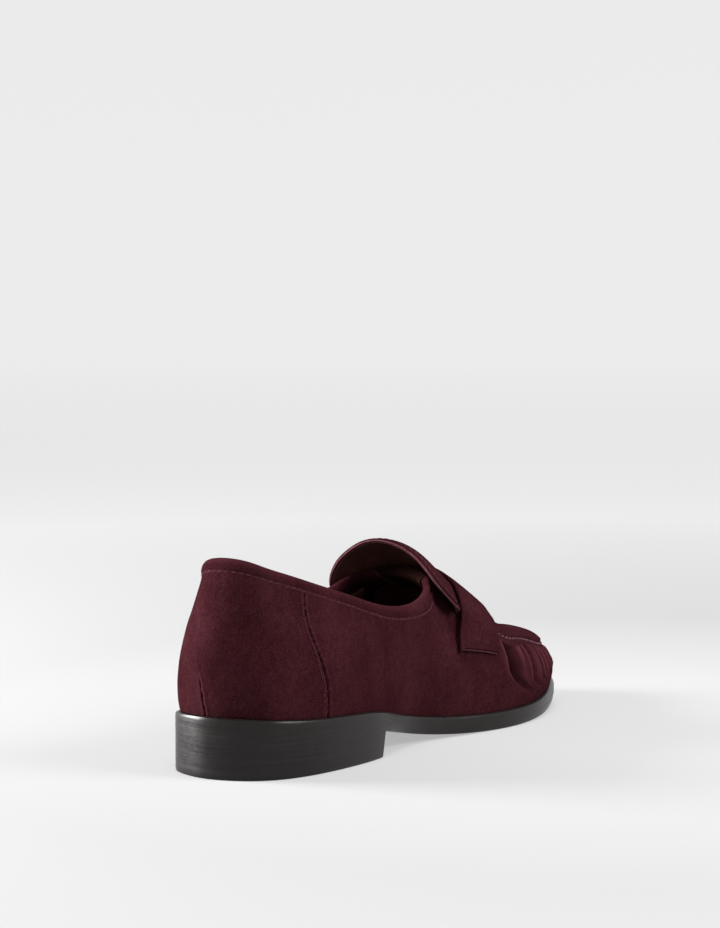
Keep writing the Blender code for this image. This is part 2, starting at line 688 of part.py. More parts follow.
def main():
    clear_scene()
    for name in ("penny_loafer", "cutters"):
        collection = bpy.data.collections.get(name) or bpy.data.collections.new(name)
        if name not in bpy.context.scene.collection.children:
            bpy.context.scene.collection.children.link(collection)
    suede = material("burgundy_suede", SUEDE_COLOR, 0.95)
    edge_leather = material("black_edge_leather", EDGE_BLACK, 0.35)
    lining = material("dark_lining_leather", LINING_COLOR, 0.55)
    steel = material("steel", STEEL, 0.3, 1.0)
    stack_leather = material("stack_leather", EDGE_BLACK, 0.38)
    make_sole(stack_leather, material("heel_rubber", EDGE_BLACK, 0.6), edge_leather)
    make_nails(steel)
    make_bottom_inside(material("insole_board", TAN, 0.9), material("foam", FOAM, 0.9), lining,
                       material("cork_filler", CORK, 0.95), steel)
    make_quarters(suede)
    make_vamp(suede)
    make_apron(suede, lining)
    make_stiffeners(material("stiffener", FELT, 0.9))
    make_linings(lining)
    make_collar(suede, material("foam", FOAM, 0.9))
    make_strap(suede)
    make_tongue(suede, lining)
    make_threads(material("waxed_thread", THREAD, 0.7))


main()
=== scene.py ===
import math

import bmesh
import bpy
import numpy as np
from mathutils import Matrix, Vector
from mathutils.bvhtree import BVHTree
from mathutils.noise import noise


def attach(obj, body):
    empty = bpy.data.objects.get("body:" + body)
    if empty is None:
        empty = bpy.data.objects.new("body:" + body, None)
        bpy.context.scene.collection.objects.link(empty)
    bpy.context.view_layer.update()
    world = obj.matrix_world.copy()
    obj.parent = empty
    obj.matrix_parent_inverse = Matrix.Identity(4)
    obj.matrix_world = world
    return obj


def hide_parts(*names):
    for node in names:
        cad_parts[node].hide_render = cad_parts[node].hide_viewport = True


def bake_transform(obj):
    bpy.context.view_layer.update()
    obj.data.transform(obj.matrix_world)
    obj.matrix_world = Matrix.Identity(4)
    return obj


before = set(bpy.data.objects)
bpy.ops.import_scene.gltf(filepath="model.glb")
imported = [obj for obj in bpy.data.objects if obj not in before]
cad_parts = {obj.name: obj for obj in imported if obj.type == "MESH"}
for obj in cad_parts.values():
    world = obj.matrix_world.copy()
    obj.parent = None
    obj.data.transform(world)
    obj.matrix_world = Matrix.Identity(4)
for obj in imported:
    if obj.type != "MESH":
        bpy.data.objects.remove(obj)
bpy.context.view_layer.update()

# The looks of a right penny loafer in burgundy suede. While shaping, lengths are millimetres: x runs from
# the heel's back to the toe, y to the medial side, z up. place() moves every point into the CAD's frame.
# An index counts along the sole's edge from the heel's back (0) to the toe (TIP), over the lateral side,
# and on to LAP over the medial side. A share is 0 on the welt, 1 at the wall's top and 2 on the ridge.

MM = 0.001
GAP = 0.35  # between neighbouring pieces
FLAT_RING = 1e-3  # a ring with less area than this needs no cap

# ---- the shoe's driving curves

# The sole's upper edge in plan and in height.
RIM_LATERAL = [
    (0, 0), (2, -12), (8, -22), (18, -29), (35, -33.8), (59, -36), (82, -35), (105, -31.2), (128, -33),
    (150, -38.7), (171, -43.3), (191, -44.3), (210, -41.4), (229, -34.8), (247, -25.7), (261, -13.2),
    (268, 4.5)]
RIM_MEDIAL = [
    (0, 0), (2.8, 10.8), (9, 20.8), (19.6, 25.9), (37, 28.1), (60, 26.5), (83, 23.3), (106, 22.7),
    (129, 28), (151, 37), (172, 44), (192, 46.6), (211, 45), (229, 40.5), (246, 33.5), (260, 22.5),
    (268, 4.5)]
RIM_HEIGHT = [(0, 25), (35, 22.2), (80, 18.9), (105, 13.8), (135, 9.2), (175, 7.7), (225, 9.8), (268, 14.2)]
RIM = RIM_LATERAL + RIM_MEDIAL[-2:0:-1]
TIP = 16
LAP = 2 * TIP
SMALL_STEP = 0.02  # index step for reading a curve's direction
SURFACE_STEP = 0.004  # index and share step for reading a surface's direction

# The upper's middle line (x, y), and its two top edges as (x, half width, z).
CENTRE_LINE = [(0, -1.5), (60, -2), (100, -2.5), (130, -2), (165, 0), (210, 2), (268, 4.5)]
TOPLINE = [
    (11.5, 0, 88.5), (14, 9.5, 87.3), (21, 16, 84), (32.5, 19.6, 80.2), (48, 22, 75.3), (67, 25, 69.3),
    (86, 27.5, 63.5), (106, 28, 61), (126, 25, 62.6), (146, 14.5, 70)]
SEAM = [
    (146, 14.5, 70), (164, 25, 54.5), (183, 33, 39.3), (202, 33.3, 35.2), (220, 31.5, 31.2), (237, 27, 28),
    (252, 17.5, 27), (259.5, 0, 27)]
CORNER = 9  # index where the topline meets the apron seam
THROAT = [(139, 20.5, 67.2), (147.5, 11.5, 70.3), (150.5, 0, 71.4)]
THROAT_INDEX = 11
OPENING_LAP = 2 * THROAT_INDEX

# How far the side wall swells out low down and leans out below its top edge, by index.
BULGE = [(0, 5.6), (3, 5.0), (5, 3.4), (8, 3.5), (11, 4.5), (14, 4.0), (16, 3.6)]
LEAN = [(0, 2.2), (3, 2.2), (5, 3.0), (8, 4.0), (9, 8.0), (11, 10.0), (12.5, 6.5), (14, 3.0), (16, 2.5)]
RIDGE = [(151, 71.4), (165, 64.8), (180, 52.2), (195, 42.4), (210, 38.2), (225, 35.9), (240, 33.9)]
APRON_ROUNDNESS = 2.6
SEAM_PUFF = [(9, 0), (11, 0.2), (12.5, 1.6), (16, 2.2)]

FEATHER_INSET = 2.0  # the upper meets the welt this far inside the edge
EDGE_BAND = 6.0  # the sole layers' sides are shaped this far inwards
WELT_THICK = 3.0
OUTSOLE_THICK = 4.2
TOP_PIECE_THICK = 5.0
LIFT_COUNT = 3
GROOVE = 1.8  # the welt and the outsole part this deep round the toe
GROOVE_START, GROOVE_FULL = 195, 262  # the welt's groove opens over this stretch
HEEL_END = 5.93  # index of the heel's breast
BREAST_HOLLOW = 2.5
HEEL_SLANT, HEEL_TOP = 2.8, 13.0  # the breast leans forwards this much over this height
SUEDE_THICK = 1.2
LINING_THICK, LINING_DEPTH, LINING_SPLIT = 0.8, 3.2, 6.4
FOOTBED_HEIGHT = 4.2
INSOLE_THICK, FOAM_THICK, SOCK_THICK = 1.4, 1.2, 0.8
PUFF_START, PUFF_DEPTH, PUFF_THICK = 12.6, 1.6, 0.9

# Seams as (share, index), and the collar band's width, inner width and fall below level in degrees.
BACK_SEAM = [(0.0, -0.12), (0.17, -0.28), (0.3, -0.4), (1.0, -0.4)]
SIDE_SEAM = [(0.0, 4.22), (0.28, 4.05), (0.45, 3.78), (0.62, 3.47), (1.0, 3.42)]
SIDE_SEAM_TOP = SIDE_SEAM[-1][1]
SEAM_GAP = 0.008  # half the gap between quarter and vamp, in index units
BAND_WIDTH = [(0, 6.8), (6, 6.8), (7.5, 7.6), (8.6, 9.0), (9.4, 8.5), (10, 6.0), (11, 4.6)]
BAND_INNER = [(0, 10), (5, 9.5), (6.5, 7.8), (9, 7.2), (11, 6)]
BAND_STEEPNESS = [(0, 75), (6, 76), (8, 68), (9, 55), (10, 38), (11, 25)]

# The collar band's section as (share of the band's width, more millimetres down from the opening's edge,
# millimetres outwards, painted shade above 0 or painted highlight below 0). The roll's shares are of the
# band's inner width.
BAND_OUTSIDE = [
    (1, 0.1, -0.9, 0.3), (1, 0, -0.2, 0.3), (1, -0.3, 0.05, -0.15), (1, -0.8, 0.18, -0.35),
    (1, -1.3, 0.26, -0.25), (1, -1.9, 0.52, 0), (0.6, 0, 0.8, 0), (0.42, 0, 0.8, 0), (0.28, 0, 0.6, -0.1),
    (0, 1.2, 0.25, -0.15), (0, 0.6, -0.12, -0.2)]
BAND_ROLL = [
    (0, 0.2, -0.75, -0.2), (0, 0, -1.55, -0.1), (0, 0.02, -2.35, 0), (0, 0.3, -3.1, 0.1),
    (0, 0.9, -3.75, 0.15), (0.3, 0, -4.25, 0.15), (0.6, 0, -4.3, 0.15), (1, -1.2, -4.05, 0.15),
    (1, -0.3, -3.95, 0.15), (1, 0, -3.6, 0.15), (1, -0.3, -3.2, 0.15), (0.5, 0, -2.9, 0), (0, 1.6, -2.0, 0)]
BAND_MIDDLE = (0.5, 0, -1.0, 0)  # hidden inside, between the roll's last point and the outside's first
COLLAR_LAP = 0.9  # the upper's edge reaches this far up under the collar
COLLAR_STITCH_END = 9.1
COLLAR_PAD_END = 7.8

# The strap's edges as (share, index), and the tongue's free edge.
STRAP_REAR = [(0.4, 8.82), (0.52, 9.04), (0.62, 9.24), (0.72, 9.40), (0.9, 9.57), (1.2, 9.69), (2, 9.79)]
STRAP_FRONT = [
    (0.46, 10.01), (0.55, 10.13), (0.64, 10.24), (0.78, 10.44), (1.0, 10.76), (1.5, 11.6), (2, 12.0)]
STRAP_LOW_REAR, STRAP_LOW_FRONT = 0.395, 0.488
STRAP_THICK = 1.3
STRAP_MARGIN, TONGUE_MARGIN = 1.9, 2.6  # from the edge to the stitching
TONGUE_LOW = 0.74
TONGUE_THICK = 1.1
TONGUE_EDGE = [
    (149.5, -32.2, 55), (143, -31, 60), (137, -28, 67), (135.8, -22, 74.5), (135.3, -15.5, 80),
    (133.5, -8, 83.8), (131, 0, 85.2), (130, 8, 83.2), (131, 15.8, 78.5), (133.5, 22.3, 73),
    (137.5, 27.8, 66), (143, 30.9, 60), (149.5, 32.6, 55)]
TONGUE_RISE = 13.0  # how far the flap bows up between its root and its edge, times 4
TONGUE_ACROSS, TONGUE_ALONG = 61, 24

# Pleats gathered under the apron seam: index at share 0.8, how far it leans forwards per share, depth,
# width behind and ahead of the valley (in index units), and the share where it fades out.
PLEATS = [
    (10.74, 0.85, 3.7, 0.05, 0.34, 0.10), (11.58, 1.30, 0.7, 0.07, 0.10, 0.50),
    (11.82, 1.15, 2.5, 0.05, 0.22, 0.12), (12.48, 1.15, 1.9, 0.05, 0.16, 0.15),
    (12.84, 1.00, 1.3, 0.05, 0.13, 0.24), (13.22, 0.85, 1.9, 0.06, 0.18, 0.12),
    (13.74, 0.70, 2.2, 0.06, 0.17, 0.22), (14.28, 0.50, 1.8, 0.07, 0.17, 0.12),
    (14.86, 0.35, 1.7, 0.07, 0.17, 0.24), (15.44, 0.15, 1.5, 0.08, 0.17, 0.14)]
PLEAT_TOP, PLEAT_TOP_RISE = 0.81, 0.08  # a smooth band is left between the pleats and the seam
PLEAT_HOOK, HOOK_START = 14.0, 0.38  # the pleats' lower ends curl forwards below this share
APRON_LIP = 1.5  # the apron's edge stands this much prouder than the apron round the toe
TOE_PUFF = 0.9  # the gathered wall swells this far at the toe
INDEX_LENGTH, BACK_INDEX_LENGTH = 22.0, 12.0  # millimetres per index at the side and back seams

# Unevenness as (size, height): the seams' frayed edges and the soft hide of wall, apron, strap and tongue.
FRAYED = ((1.6, 0.5), (0.7, 0.4))
UNEVEN_WALL = ((17, 0.28), (6, 0.10))
UNEVEN_APRON = (15, 0.25)
UNEVEN_STRAP = (14, 0.22)
UNEVEN_TONGUE = (16, 0.35)
# a random spread in the strength of the collar band's painted shade and highlight
UNEVEN_COLLAR_SHADE = (1.1, 0.5)
UNEVEN_STITCHING = (2.2, 0.3)

# Stitches as (length, gap, radius).
APRON_STITCH = (2.1, 1.2, 0.50)
COLLAR_STITCH = (2.5, 0.6, 0.24)
COLLAR_INNER_STITCH = (2.5, 0.75, 0.25)
STRAP_STITCH = (1.9, 0.6, 0.26)
TONGUE_STITCH = (2.2, 0.7, 0.24)
SIDE_STITCH = (1.9, 0.5, 0.17)
WELT_STITCH = (1.15, 0.35, 0.3)


# ---- curves

def natural(rows, at):
    """A natural cubic spline through rows of (parameter, values...), read at the given parameters."""
    rows = np.asarray(rows, float)
    knots, values = rows[:, 0], rows[:, 1:]
    step = np.diff(knots)
    count = len(knots)
    matrix = np.eye(count)
    for i in range(1, count - 1):
        matrix[i, i - 1:i + 2] = step[i - 1], 2 * (step[i - 1] + step[i]), step[i]
    right = np.zeros_like(values)
    right[1:-1] = 6 * np.diff(np.diff(values, axis=0) / step[:, None], axis=0)
    bend = np.linalg.solve(matrix, right)
    at = np.atleast_1d(np.asarray(at, float))
    i = np.clip(np.searchsorted(knots, at) - 1, 0, count - 2)
    w = ((at - knots[i]) / step[i])[:, None]
    square = step[i][:, None] ** 2 / 6
    return (values[i] * (1 - w) + values[i + 1] * w
            + square * (((1 - w) ** 3 - (1 - w)) * bend[i] + (w ** 3 - w) * bend[i + 1]))


def along(rows, at):
    """A one-value spline held at its end values outside its range."""
    rows = np.asarray(rows, float)
    return natural(rows, np.clip(at, rows[0, 0], rows[-1, 0]))[:, 0]


def closed_curve(points, at):
    points = np.asarray(points, float)
    count = len(points)
    wrapped = np.vstack([points[-4:], points, points[:5]])
    return natural(np.column_stack([np.arange(-4, count + 5), wrapped]), np.mod(at, count))


def fold(u):
    """Index u as a distance from the heel's back, and -1 on the lateral or 1 on the medial side."""
    u = np.mod(u, LAP)
    return np.where(u <= TIP, u, LAP - u), np.where(u <= TIP, -1.0, 1.0)


def paired(*values):
    """Numbers and arrays as float arrays of one shape."""
    return np.broadcast_arrays(*(np.asarray(value, float) for value in values))


def unit(vectors):
    return vectors / np.maximum(np.linalg.norm(vectors, axis=-1), 1e-9)[..., None]


def smooth(low, high, at):
    """0 below low, 1 above high, and a smooth step between."""
    t = np.clip((np.asarray(at, float) - low) / (high - low), 0, 1)
    return t * t * (3 - 2 * t)


# ---- the shoe's surfaces

def rim(u, inset=0.0):
    """The sole's edge in plan, moved inwards by inset."""
    return closed_curve(RIM, u) - outward(u) * inset


def outward(u):
    """The direction out of the shoe in plan."""
    u = np.asarray(u, float)
    run = unit(closed_curve(RIM, u + SMALL_STEP) - closed_curve(RIM, u - SMALL_STEP))
    return np.column_stack([run[:, 1], -run[:, 0]])


def rim_z(x):
    """The height of the sole's upper edge."""
    return along(RIM_HEIGHT, x)


def centre_y(x):
    return along(CENTRE_LINE, x)


def top_edge(u):
    """Where the side wall ends: the topline, and from CORNER on the apron seam."""
    s, side = fold(u)
    rear = [(k, x, half, z) for k, (x, half, z) in enumerate(TOPLINE)]
    rear = [(-k, x, -half, z) for k, x, half, z in rear[3:0:-1]] + rear
    front = [(CORNER + k, x, half, z) for k, (x, half, z) in enumerate(SEAM)]
    front = front + [(LAP - k, x, -half, z) for k, x, half, z in front[-2:-5:-1]]
    edge = np.where((s <= CORNER)[:, None], natural(rear, np.clip(s, 0, CORNER)),
                    natural(front, np.clip(s, CORNER, TIP)))
    return np.column_stack([edge[:, 0], centre_y(edge[:, 0]) + side * edge[:, 1], edge[:, 2]])


def wall(u, v):
    """The outside of the upper's side: v is 0 on the welt and 1 at the top edge."""
    u, v = paired(u, v)
    s, _ = fold(u)
    foot = rim(u, FEATHER_INSET)
    foot = np.column_stack([foot, rim_z(foot[:, 0]) + GAP])
    top = top_edge(u)
    out = np.column_stack([outward(u), np.zeros(len(u))])
    rise = np.outer(top[:, 2] - foot[:, 2], (0, 0, 1))
    low = foot + out * along(BULGE, s)[:, None] + rise * 0.4
    high = top + out * along(LEAN, s)[:, None] - rise * 0.25
    v = v[:, None]
    return foot * (1 - v) ** 3 + 3 * low * v * (1 - v) ** 2 + 3 * high * v ** 2 * (1 - v) + top * v ** 3


def apron(u, r):
    """The top of the vamp: r is 0 at the apron seam and 1 on the ridge."""
    u, r = paired(np.clip(u, CORNER, LAP - CORNER), r)
    s, _ = fold(u)
    edge = top_edge(u)
    share = (s - CORNER) / (TIP - CORNER)
    x = RIDGE[0][0] + (RIDGE[-1][0] - RIDGE[0][0]) * share
    crest = np.column_stack([x, centre_y(x), along(RIDGE, x)])
    r = r[:, None]
    point = edge * (1 - r) + crest * r
    left = np.maximum(1 - r, 0)
    rise = 1 - left ** APRON_ROUNDNESS
    puff = along(SEAM_PUFF, s)[:, None] * (1 - left ** 9) * left
    point[:, 2:3] = edge[:, 2:3] + (crest[:, 2:3] - edge[:, 2:3]) * rise + puff
    return point


def over(u, w):
    """Wall and apron as one surface."""
    u, w = paired(u, w)
    return np.where((w <= 1)[:, None], wall(u, np.minimum(w, 1)), apron(u, np.maximum(w - 1, 0)))


def normals(surface, u, v):
    """Outward directions square to a surface."""
    across = surface(u + SURFACE_STEP, v) - surface(u - SURFACE_STEP, v)
    upwards = surface(u, v + SURFACE_STEP) - surface(u, v - SURFACE_STEP)
    return unit(np.cross(across, upwards))


def lifted(surface, u, v, lift):
    """Points of a surface moved out of the shoe by lift, square to it."""
    u, v, lift = paired(u, v, lift)
    flat = u.ravel(), v.ravel()
    points = surface(*flat) + normals(surface, *flat) * lift.reshape(-1, 1)
    return points.reshape(*u.shape, 3)


def opening(c):
    """The edge of the foot opening: index 0 at the heel and THROAT_INDEX at the throat."""
    half = TOPLINE[:CORNER] + THROAT
    ring = [(x, centre_y([x])[0] - w, z) for x, w, z in half]
    ring += [(x, centre_y([x])[0] + w, z) for x, w, z in half[-2:0:-1]]
    return closed_curve(ring, c)


def band_frame(c):
    """At indices c of the opening: distance from the heel, edge points, the way down, and the way out."""
    c = np.atleast_1d(np.asarray(c, float))
    s = np.minimum(c % OPENING_LAP, -c % OPENING_LAP)
    run = unit(opening(c + SMALL_STEP)[:, :2] - opening(c - SMALL_STEP)[:, :2])
    plan = np.column_stack([run[:, 1], -run[:, 0], np.zeros(len(c))])
    steep = np.radians(along(BAND_STEEPNESS, s))[:, None]
    up = np.array([0, 0, 1.0])
    away = plan * np.cos(steep) - up * np.sin(steep)
    out = plan * np.sin(steep) + up * np.cos(steep)
    return s, opening(c), away, out


def wall_column(u, low, count):
    """Shares up to the top edge, and the wall's points at index u there."""
    shares = np.linspace(low, 1, count)
    return shares, wall(np.full(count, u), shares)


def band_share(u):
    """The highest share of the wall at index u that stays clear of the collar band."""
    shares, column = wall_column(u, 0.4, 160)
    distance = np.linalg.norm(column[:, None] - BAND_EDGE[None], axis=2)
    clear = distance.min(axis=1) > BAND_EDGE_WIDTH[np.argmin(distance, axis=1)] - COLLAR_LAP
    return float(shares[clear][-1])


def share_below_top(u, distance):
    """The wall's share at a distance down from its top edge."""
    shares, column = wall_column(u, 0.3, 60)
    return float(np.interp(-distance, -np.linalg.norm(column - column[-1], axis=1), shares))


def share_at_height(u, height):
    """The wall's share where it stands height above the sole's edge."""
    shares, column = wall_column(u, 0, 60)
    return float(np.interp(height, column[:, 2] - rim_z(column[:1, 0]), shares))


BAND_EDGE_AT = np.linspace(0, OPENING_LAP, 330, endpoint=False)
BAND_EDGE = opening(BAND_EDGE_AT)
BAND_EDGE_WIDTH = along(BAND_WIDTH, np.minimum(BAND_EDGE_AT, OPENING_LAP - BAND_EDGE_AT))
PLAN = rim(np.linspace(0, LAP, 400, endpoint=False))
ORIGIN = np.array([*(PLAN.min(axis=0) + PLAN.max(axis=0)) / 2, 0.0])


# ---- meshes

def place(points):
    """Millimetres over the heel's back as metres in the CAD's frame."""
    return (np.asarray(points, float) - ORIGIN) * MM


def settle(piece, finish, nodes=(), body="shoe"):
    """Gives a piece its material and body, and hides the CAD nodes that it stands for."""
    piece.data.materials.append(finish)
    if nodes:
        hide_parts(*nodes)
    if body:
        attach(piece, body)
    return piece


def grid_faces(rows, columns, ring=False, lap=False, start=0):
    """Quads between rows of points. ring closes each row, and lap joins the last row to the first."""
    faces = []
    for i in range(rows if lap else rows - 1):
        for j in range(columns if ring else columns - 1):
            far, beside = (i + 1) % rows, (j + 1) % columns
            corners = (i * columns + j, far * columns + j, far * columns + beside, i * columns + beside)
            faces.append(tuple(start + corner for corner in corners))
    return faces


def linked(name, data):
    made = bpy.data.objects.new(name, data)
    bpy.context.scene.collection.objects.link(made)
    return made


def mend(mesh, weld=0.0, closed=True):
    """Joins a mesh's points closer than weld and, where it is closed, turns its faces outwards."""
    shape = bmesh.new()
    shape.from_mesh(mesh)
    if weld:
        bmesh.ops.remove_doubles(shape, verts=shape.verts, dist=weld * MM)
    if weld and closed:
        bmesh.ops.dissolve_degenerate(shape, edges=shape.edges, dist=weld * MM / 4)
    if closed:
        bmesh.ops.recalc_face_normals(shape, faces=shape.faces)
    shape.to_mesh(mesh)
    shape.free()


def mesh_object(name, points, faces, weld=0.0):
    mesh = bpy.data.meshes.new(name)
    mesh.from_pydata(place(points).tolist(), [], faces)
    if weld:
        mend(mesh, weld)
    mesh.shade_smooth()
    return linked(name, mesh)


def sheet(name, sections, thickness, weld=0.0, edge=0.35):
    """A sheet of leather through rows of outside points, thickened into the shoe, with rounded edges."""
    sections = np.asarray(sections, float)
    piece = mesh_object(name, sections.reshape(-1, 3), grid_faces(*sections.shape[:2]))
    if weld:
        mend(piece.data, weld, closed=False)
    solid = piece.modifiers.new("thickness", "SOLIDIFY")
    solid.thickness = thickness * MM
    solid.offset = -1.0
    rounding = piece.modifiers.new("soft edges", "BEVEL")
    rounding.width = edge * MM
    rounding.segments = 3
    rounding.limit_method = "ANGLE"
    rounding.angle_limit = math.radians(50)
    return piece


def loft(name, sections, lap=False, weld=0.02):
    """A closed solid through rings of points; without lap its ends are closed, unless they fold flat."""
    sections = np.asarray(sections, float)
    rows, columns = sections.shape[:2]
    faces = grid_faces(rows, columns, ring=True, lap=lap)
    for row, order in ((0, 1), (rows - 1, -1)):
        ring_area = np.cross(sections[row], np.roll(sections[row], 1, axis=0)).sum(axis=0)
        if lap or np.linalg.norm(ring_area) < FLAT_RING:
            continue
        first = row * columns
        for j in range(columns // 2 - 1):
            strip = (j, j + 1, columns - 2 - j, columns - 1 - j)[::order]
            faces.append(tuple(first + corner for corner in strip))
    return mesh_object(name, sections.reshape(-1, 3), faces, weld)


def with_painted_shade(piece, values):
    """Stores how much painted shade (above 0) or painted highlight (below 0) each point of a piece gets."""
    layer = piece.data.attributes.new("painted_shade", "FLOAT", "POINT")
    layer.data.foreach_set("value", np.asarray(values, np.float32).ravel())
    return piece


def crisp(piece):
    """Keeps a piece's sharp edges crisp under smooth shading."""
    piece.data.set_sharp_from_angle(angle=math.radians(32))
    return piece


def wobble(points, *waves):
    """A slow random rise and fall, the same at every run. Each wave is its size and height in millimetres."""
    points = np.asarray(points, float)
    total = np.zeros(points.shape[:-1])
    for size, height in waves:
        rise = np.array([noise(Vector(p)) for p in points.reshape(-1, 3) / size])
        total = total + rise.reshape(total.shape) * height
    return total


# ---- materials

def new_material(name):
    made = bpy.data.materials.new(name)
    made.use_nodes = True
    tree = made.node_tree
    return made, tree, tree.nodes["Principled BSDF"]


def connect(node, inputs):
    """Sets a shader node's inputs: each is a number, a colour or another node's output."""
    for key, value in inputs.items():
        if isinstance(value, bpy.types.NodeSocket):
            node.id_data.links.new(value, node.inputs[key])
        else:
            node.inputs[key].default_value = value


def add(tree, kind, inputs, **settings):
    """A new shader node with its settings and inputs."""
    made = tree.nodes.new(kind)
    for key, value in settings.items():
        setattr(made, key, value)
    connect(made, inputs)
    return made


def place_coords(tree, stretch=(1, 1, 1)):
    coords = add(tree, "ShaderNodeTexCoord", {}).outputs["Object"]
    inputs = {"Vector": coords, "Scale": stretch}
    return add(tree, "ShaderNodeMapping", inputs).outputs["Vector"]


def noise_value(tree, coords, scale, detail=3.0, roughness=0.5, distortion=0.0):
    inputs = {"Vector": coords, "Scale": scale, "Detail": detail, "Roughness": roughness,
              "Distortion": distortion}
    return add(tree, "ShaderNodeTexNoise", inputs).outputs["Fac"]


def math_value(tree, operation, first, second):
    made = add(tree, "ShaderNodeMath", {0: first, 1: second}, operation=operation)
    return made.outputs["Value"]


def blend_values(tree, *pairs):
    """The weighted sum of several values."""
    parts = [math_value(tree, "MULTIPLY", value, weight) for value, weight in pairs]
    total = parts[0]
    for part in parts[1:]:
        total = math_value(tree, "ADD", total, part)
    return total


def scaled(color, factor):
    return tuple(factor * part for part in color)


def ramp(tree, value, stops):
    made = add(tree, "ShaderNodeValToRGB", {"Fac": value})
    elements = made.color_ramp.elements
    while len(elements) < len(stops):
        elements.new(0.5)
    for element, (position, color) in zip(elements, stops):
        element.position = position
        element.color = (*color, 1)
    return made.outputs["Color"]


def range_value(tree, value, low, high, to_low, to_high):
    inputs = {"Value": value, "From Min": low, "From Max": high, "To Min": to_low, "To Max": to_high}
    return add(tree, "ShaderNodeMapRange", inputs).outputs["Result"]


def bump(tree, height, distance, strength, under=None):
    inputs = {"Height": height, "Distance": distance, "Strength": strength}
    if under is not None:
        inputs["Normal"] = under
    return add(tree, "ShaderNodeBump", inputs).outputs["Normal"]


def suede(name, dark, middle, light):
    """Napped suede: brushed patches, a fine grain, stray light fibres, a soft sheen, and the painted shade
    and highlight stored on each piece.
    """
    made, tree, surface = new_material(name)
    upright = place_coords(tree, (1, 1, 0.75))
    plain = place_coords(tree)
    patches = noise_value(tree, upright, 55)
    nap = noise_value(tree, upright, 420, 4, 0.6, 0.4)
    grain = noise_value(tree, plain, 1700, 3, 0.7)
    mottle = blend_values(tree, (patches, 0.24), (nap, 0.22), (grain, 0.54))
    color = ramp(tree, mottle, [(0.40, dark), (0.5, middle), (0.60, light)])
    flecks = range_value(tree, noise_value(tree, plain, 2300, 2), 0.60, 0.72, 0.0, 0.5)
    # Painted shade and highlight: a value stored at each point darkens the colour towards near-black (painted
    # shade in pleat valleys, seams and collar creases) or lightens it towards pale pink (painted highlight on
    # crests, raised edges and the collar's lit rows).
    shade = add(tree, "ShaderNodeAttribute", {}, attribute_name="painted_shade").outputs["Fac"]
    painted_highlight = range_value(tree, shade, 0.0, -1.0, 0.0, 1.0)
    deep = range_value(tree, shade, 0.0, 1.0, 0.0, 1.0)
    pale = scaled(light, 1.8)
    for share, shown in ((flecks, pale), (painted_highlight, pale), (deep, scaled(dark, 0.16))):
        color = add(tree, "ShaderNodeMix", {0: share, 6: color, 7: (*shown, 1)}, data_type="RGBA").outputs[2]
    fibres = bump(tree, nap, 0.00030, 0.5, bump(tree, grain, 0.00025, 0.6))
    connect(surface, {"Base Color": color, "Normal": fibres, "Roughness": 0.95, "Specular IOR Level": 0.0,
                      "Sheen Weight": 0.012, "Sheen Roughness": 0.4, "Sheen Tint": (1.0, 0.36, 0.50, 1)})
    return made


def edge_leather(name, color, roughness):
    """Dyed, burnished edge leather with faint level streaks."""
    made, tree, surface = new_material(name)
    streaks = noise_value(tree, place_coords(tree, (1, 1, 34)), 26, 5, 0.65)
    spots = noise_value(tree, place_coords(tree), 240, 4)
    tone = blend_values(tree, (streaks, 0.75), (spots, 0.25))
    shown = ramp(tree, tone, [(0.3, scaled(color, 0.6)), (0.5, color), (0.72, scaled(color, 1.7))])
    shine = range_value(tree, tone, 0.3, 0.7, roughness - 0.07, roughness + 0.12)
    fine = bump(tree, spots, 0.00005, 0.4, bump(tree, streaks, 0.00012, 0.45))
    connect(surface, {"Base Color": shown, "Roughness": shine, "Normal": fine, "Specular IOR Level": 0.25})
    return made


def smooth_leather(name, color, light):
    """Lining leather: fine pores and a worn, uneven tone."""
    made, tree, surface = new_material(name)
    plain = place_coords(tree)
    pores = add(tree, "ShaderNodeTexVoronoi", {"Vector": plain, "Scale": 1100}).outputs["Distance"]
    tone = noise_value(tree, plain, 70, 4)
    connect(surface, {"Base Color": ramp(tree, tone, [(0.35, color), (0.7, light)]),
                      "Roughness": range_value(tree, tone, 0.3, 0.7, 0.77, 0.95),
                      "Normal": bump(tree, pores, 0.00010, 0.5), "Specular IOR Level": 0.0})
    return made


def fibrous(name, dark, light, scale, roughness=0.9, stretch=(1, 1, 1), depth=0.0002):
    """Board, felt, foam, cork or thread: one grain in two tones."""
    made, tree, surface = new_material(name)
    grain = noise_value(tree, place_coords(tree, stretch), scale, 5, 0.65)
    connect(surface, {"Base Color": ramp(tree, grain, [(0.36, dark), (0.64, light)]), "Roughness": roughness,
                      "Normal": bump(tree, grain, depth, 0.6), "Specular IOR Level": 0.12})
    return made


def brushed_steel():
    made, tree, surface = new_material("brushed_steel")
    lines = noise_value(tree, place_coords(tree, (1, 40, 40)), 60, 4)
    connect(surface, {"Base Color": (0.55, 0.55, 0.56, 1), "Metallic": 1.0,
                      "Roughness": range_value(tree, lines, 0.3, 0.7, 0.25, 0.45),
                      "Normal": bump(tree, lines, 0.00003, 0.5)})
    return made


SUEDE = suede("burgundy_suede", (0.0138, 0.0032, 0.0042), (0.0218, 0.0054, 0.007), (0.034, 0.0093, 0.012))
RAW_EDGE = suede("suede_raw_edge", (0.050, 0.0165, 0.021), (0.078, 0.028, 0.036), (0.115, 0.047, 0.059))
EDGE = edge_leather("black_edge_leather", (0.0056, 0.0038, 0.0036), 0.30)
STACK = edge_leather("black_stack_leather", (0.0056, 0.0036, 0.0042), 0.28)
RUBBER = edge_leather("black_heel_rubber", (0.0055, 0.0036, 0.0041), 0.30)
LINING = smooth_leather("dark_lining", (0.048, 0.019, 0.015), (0.078, 0.033, 0.026))
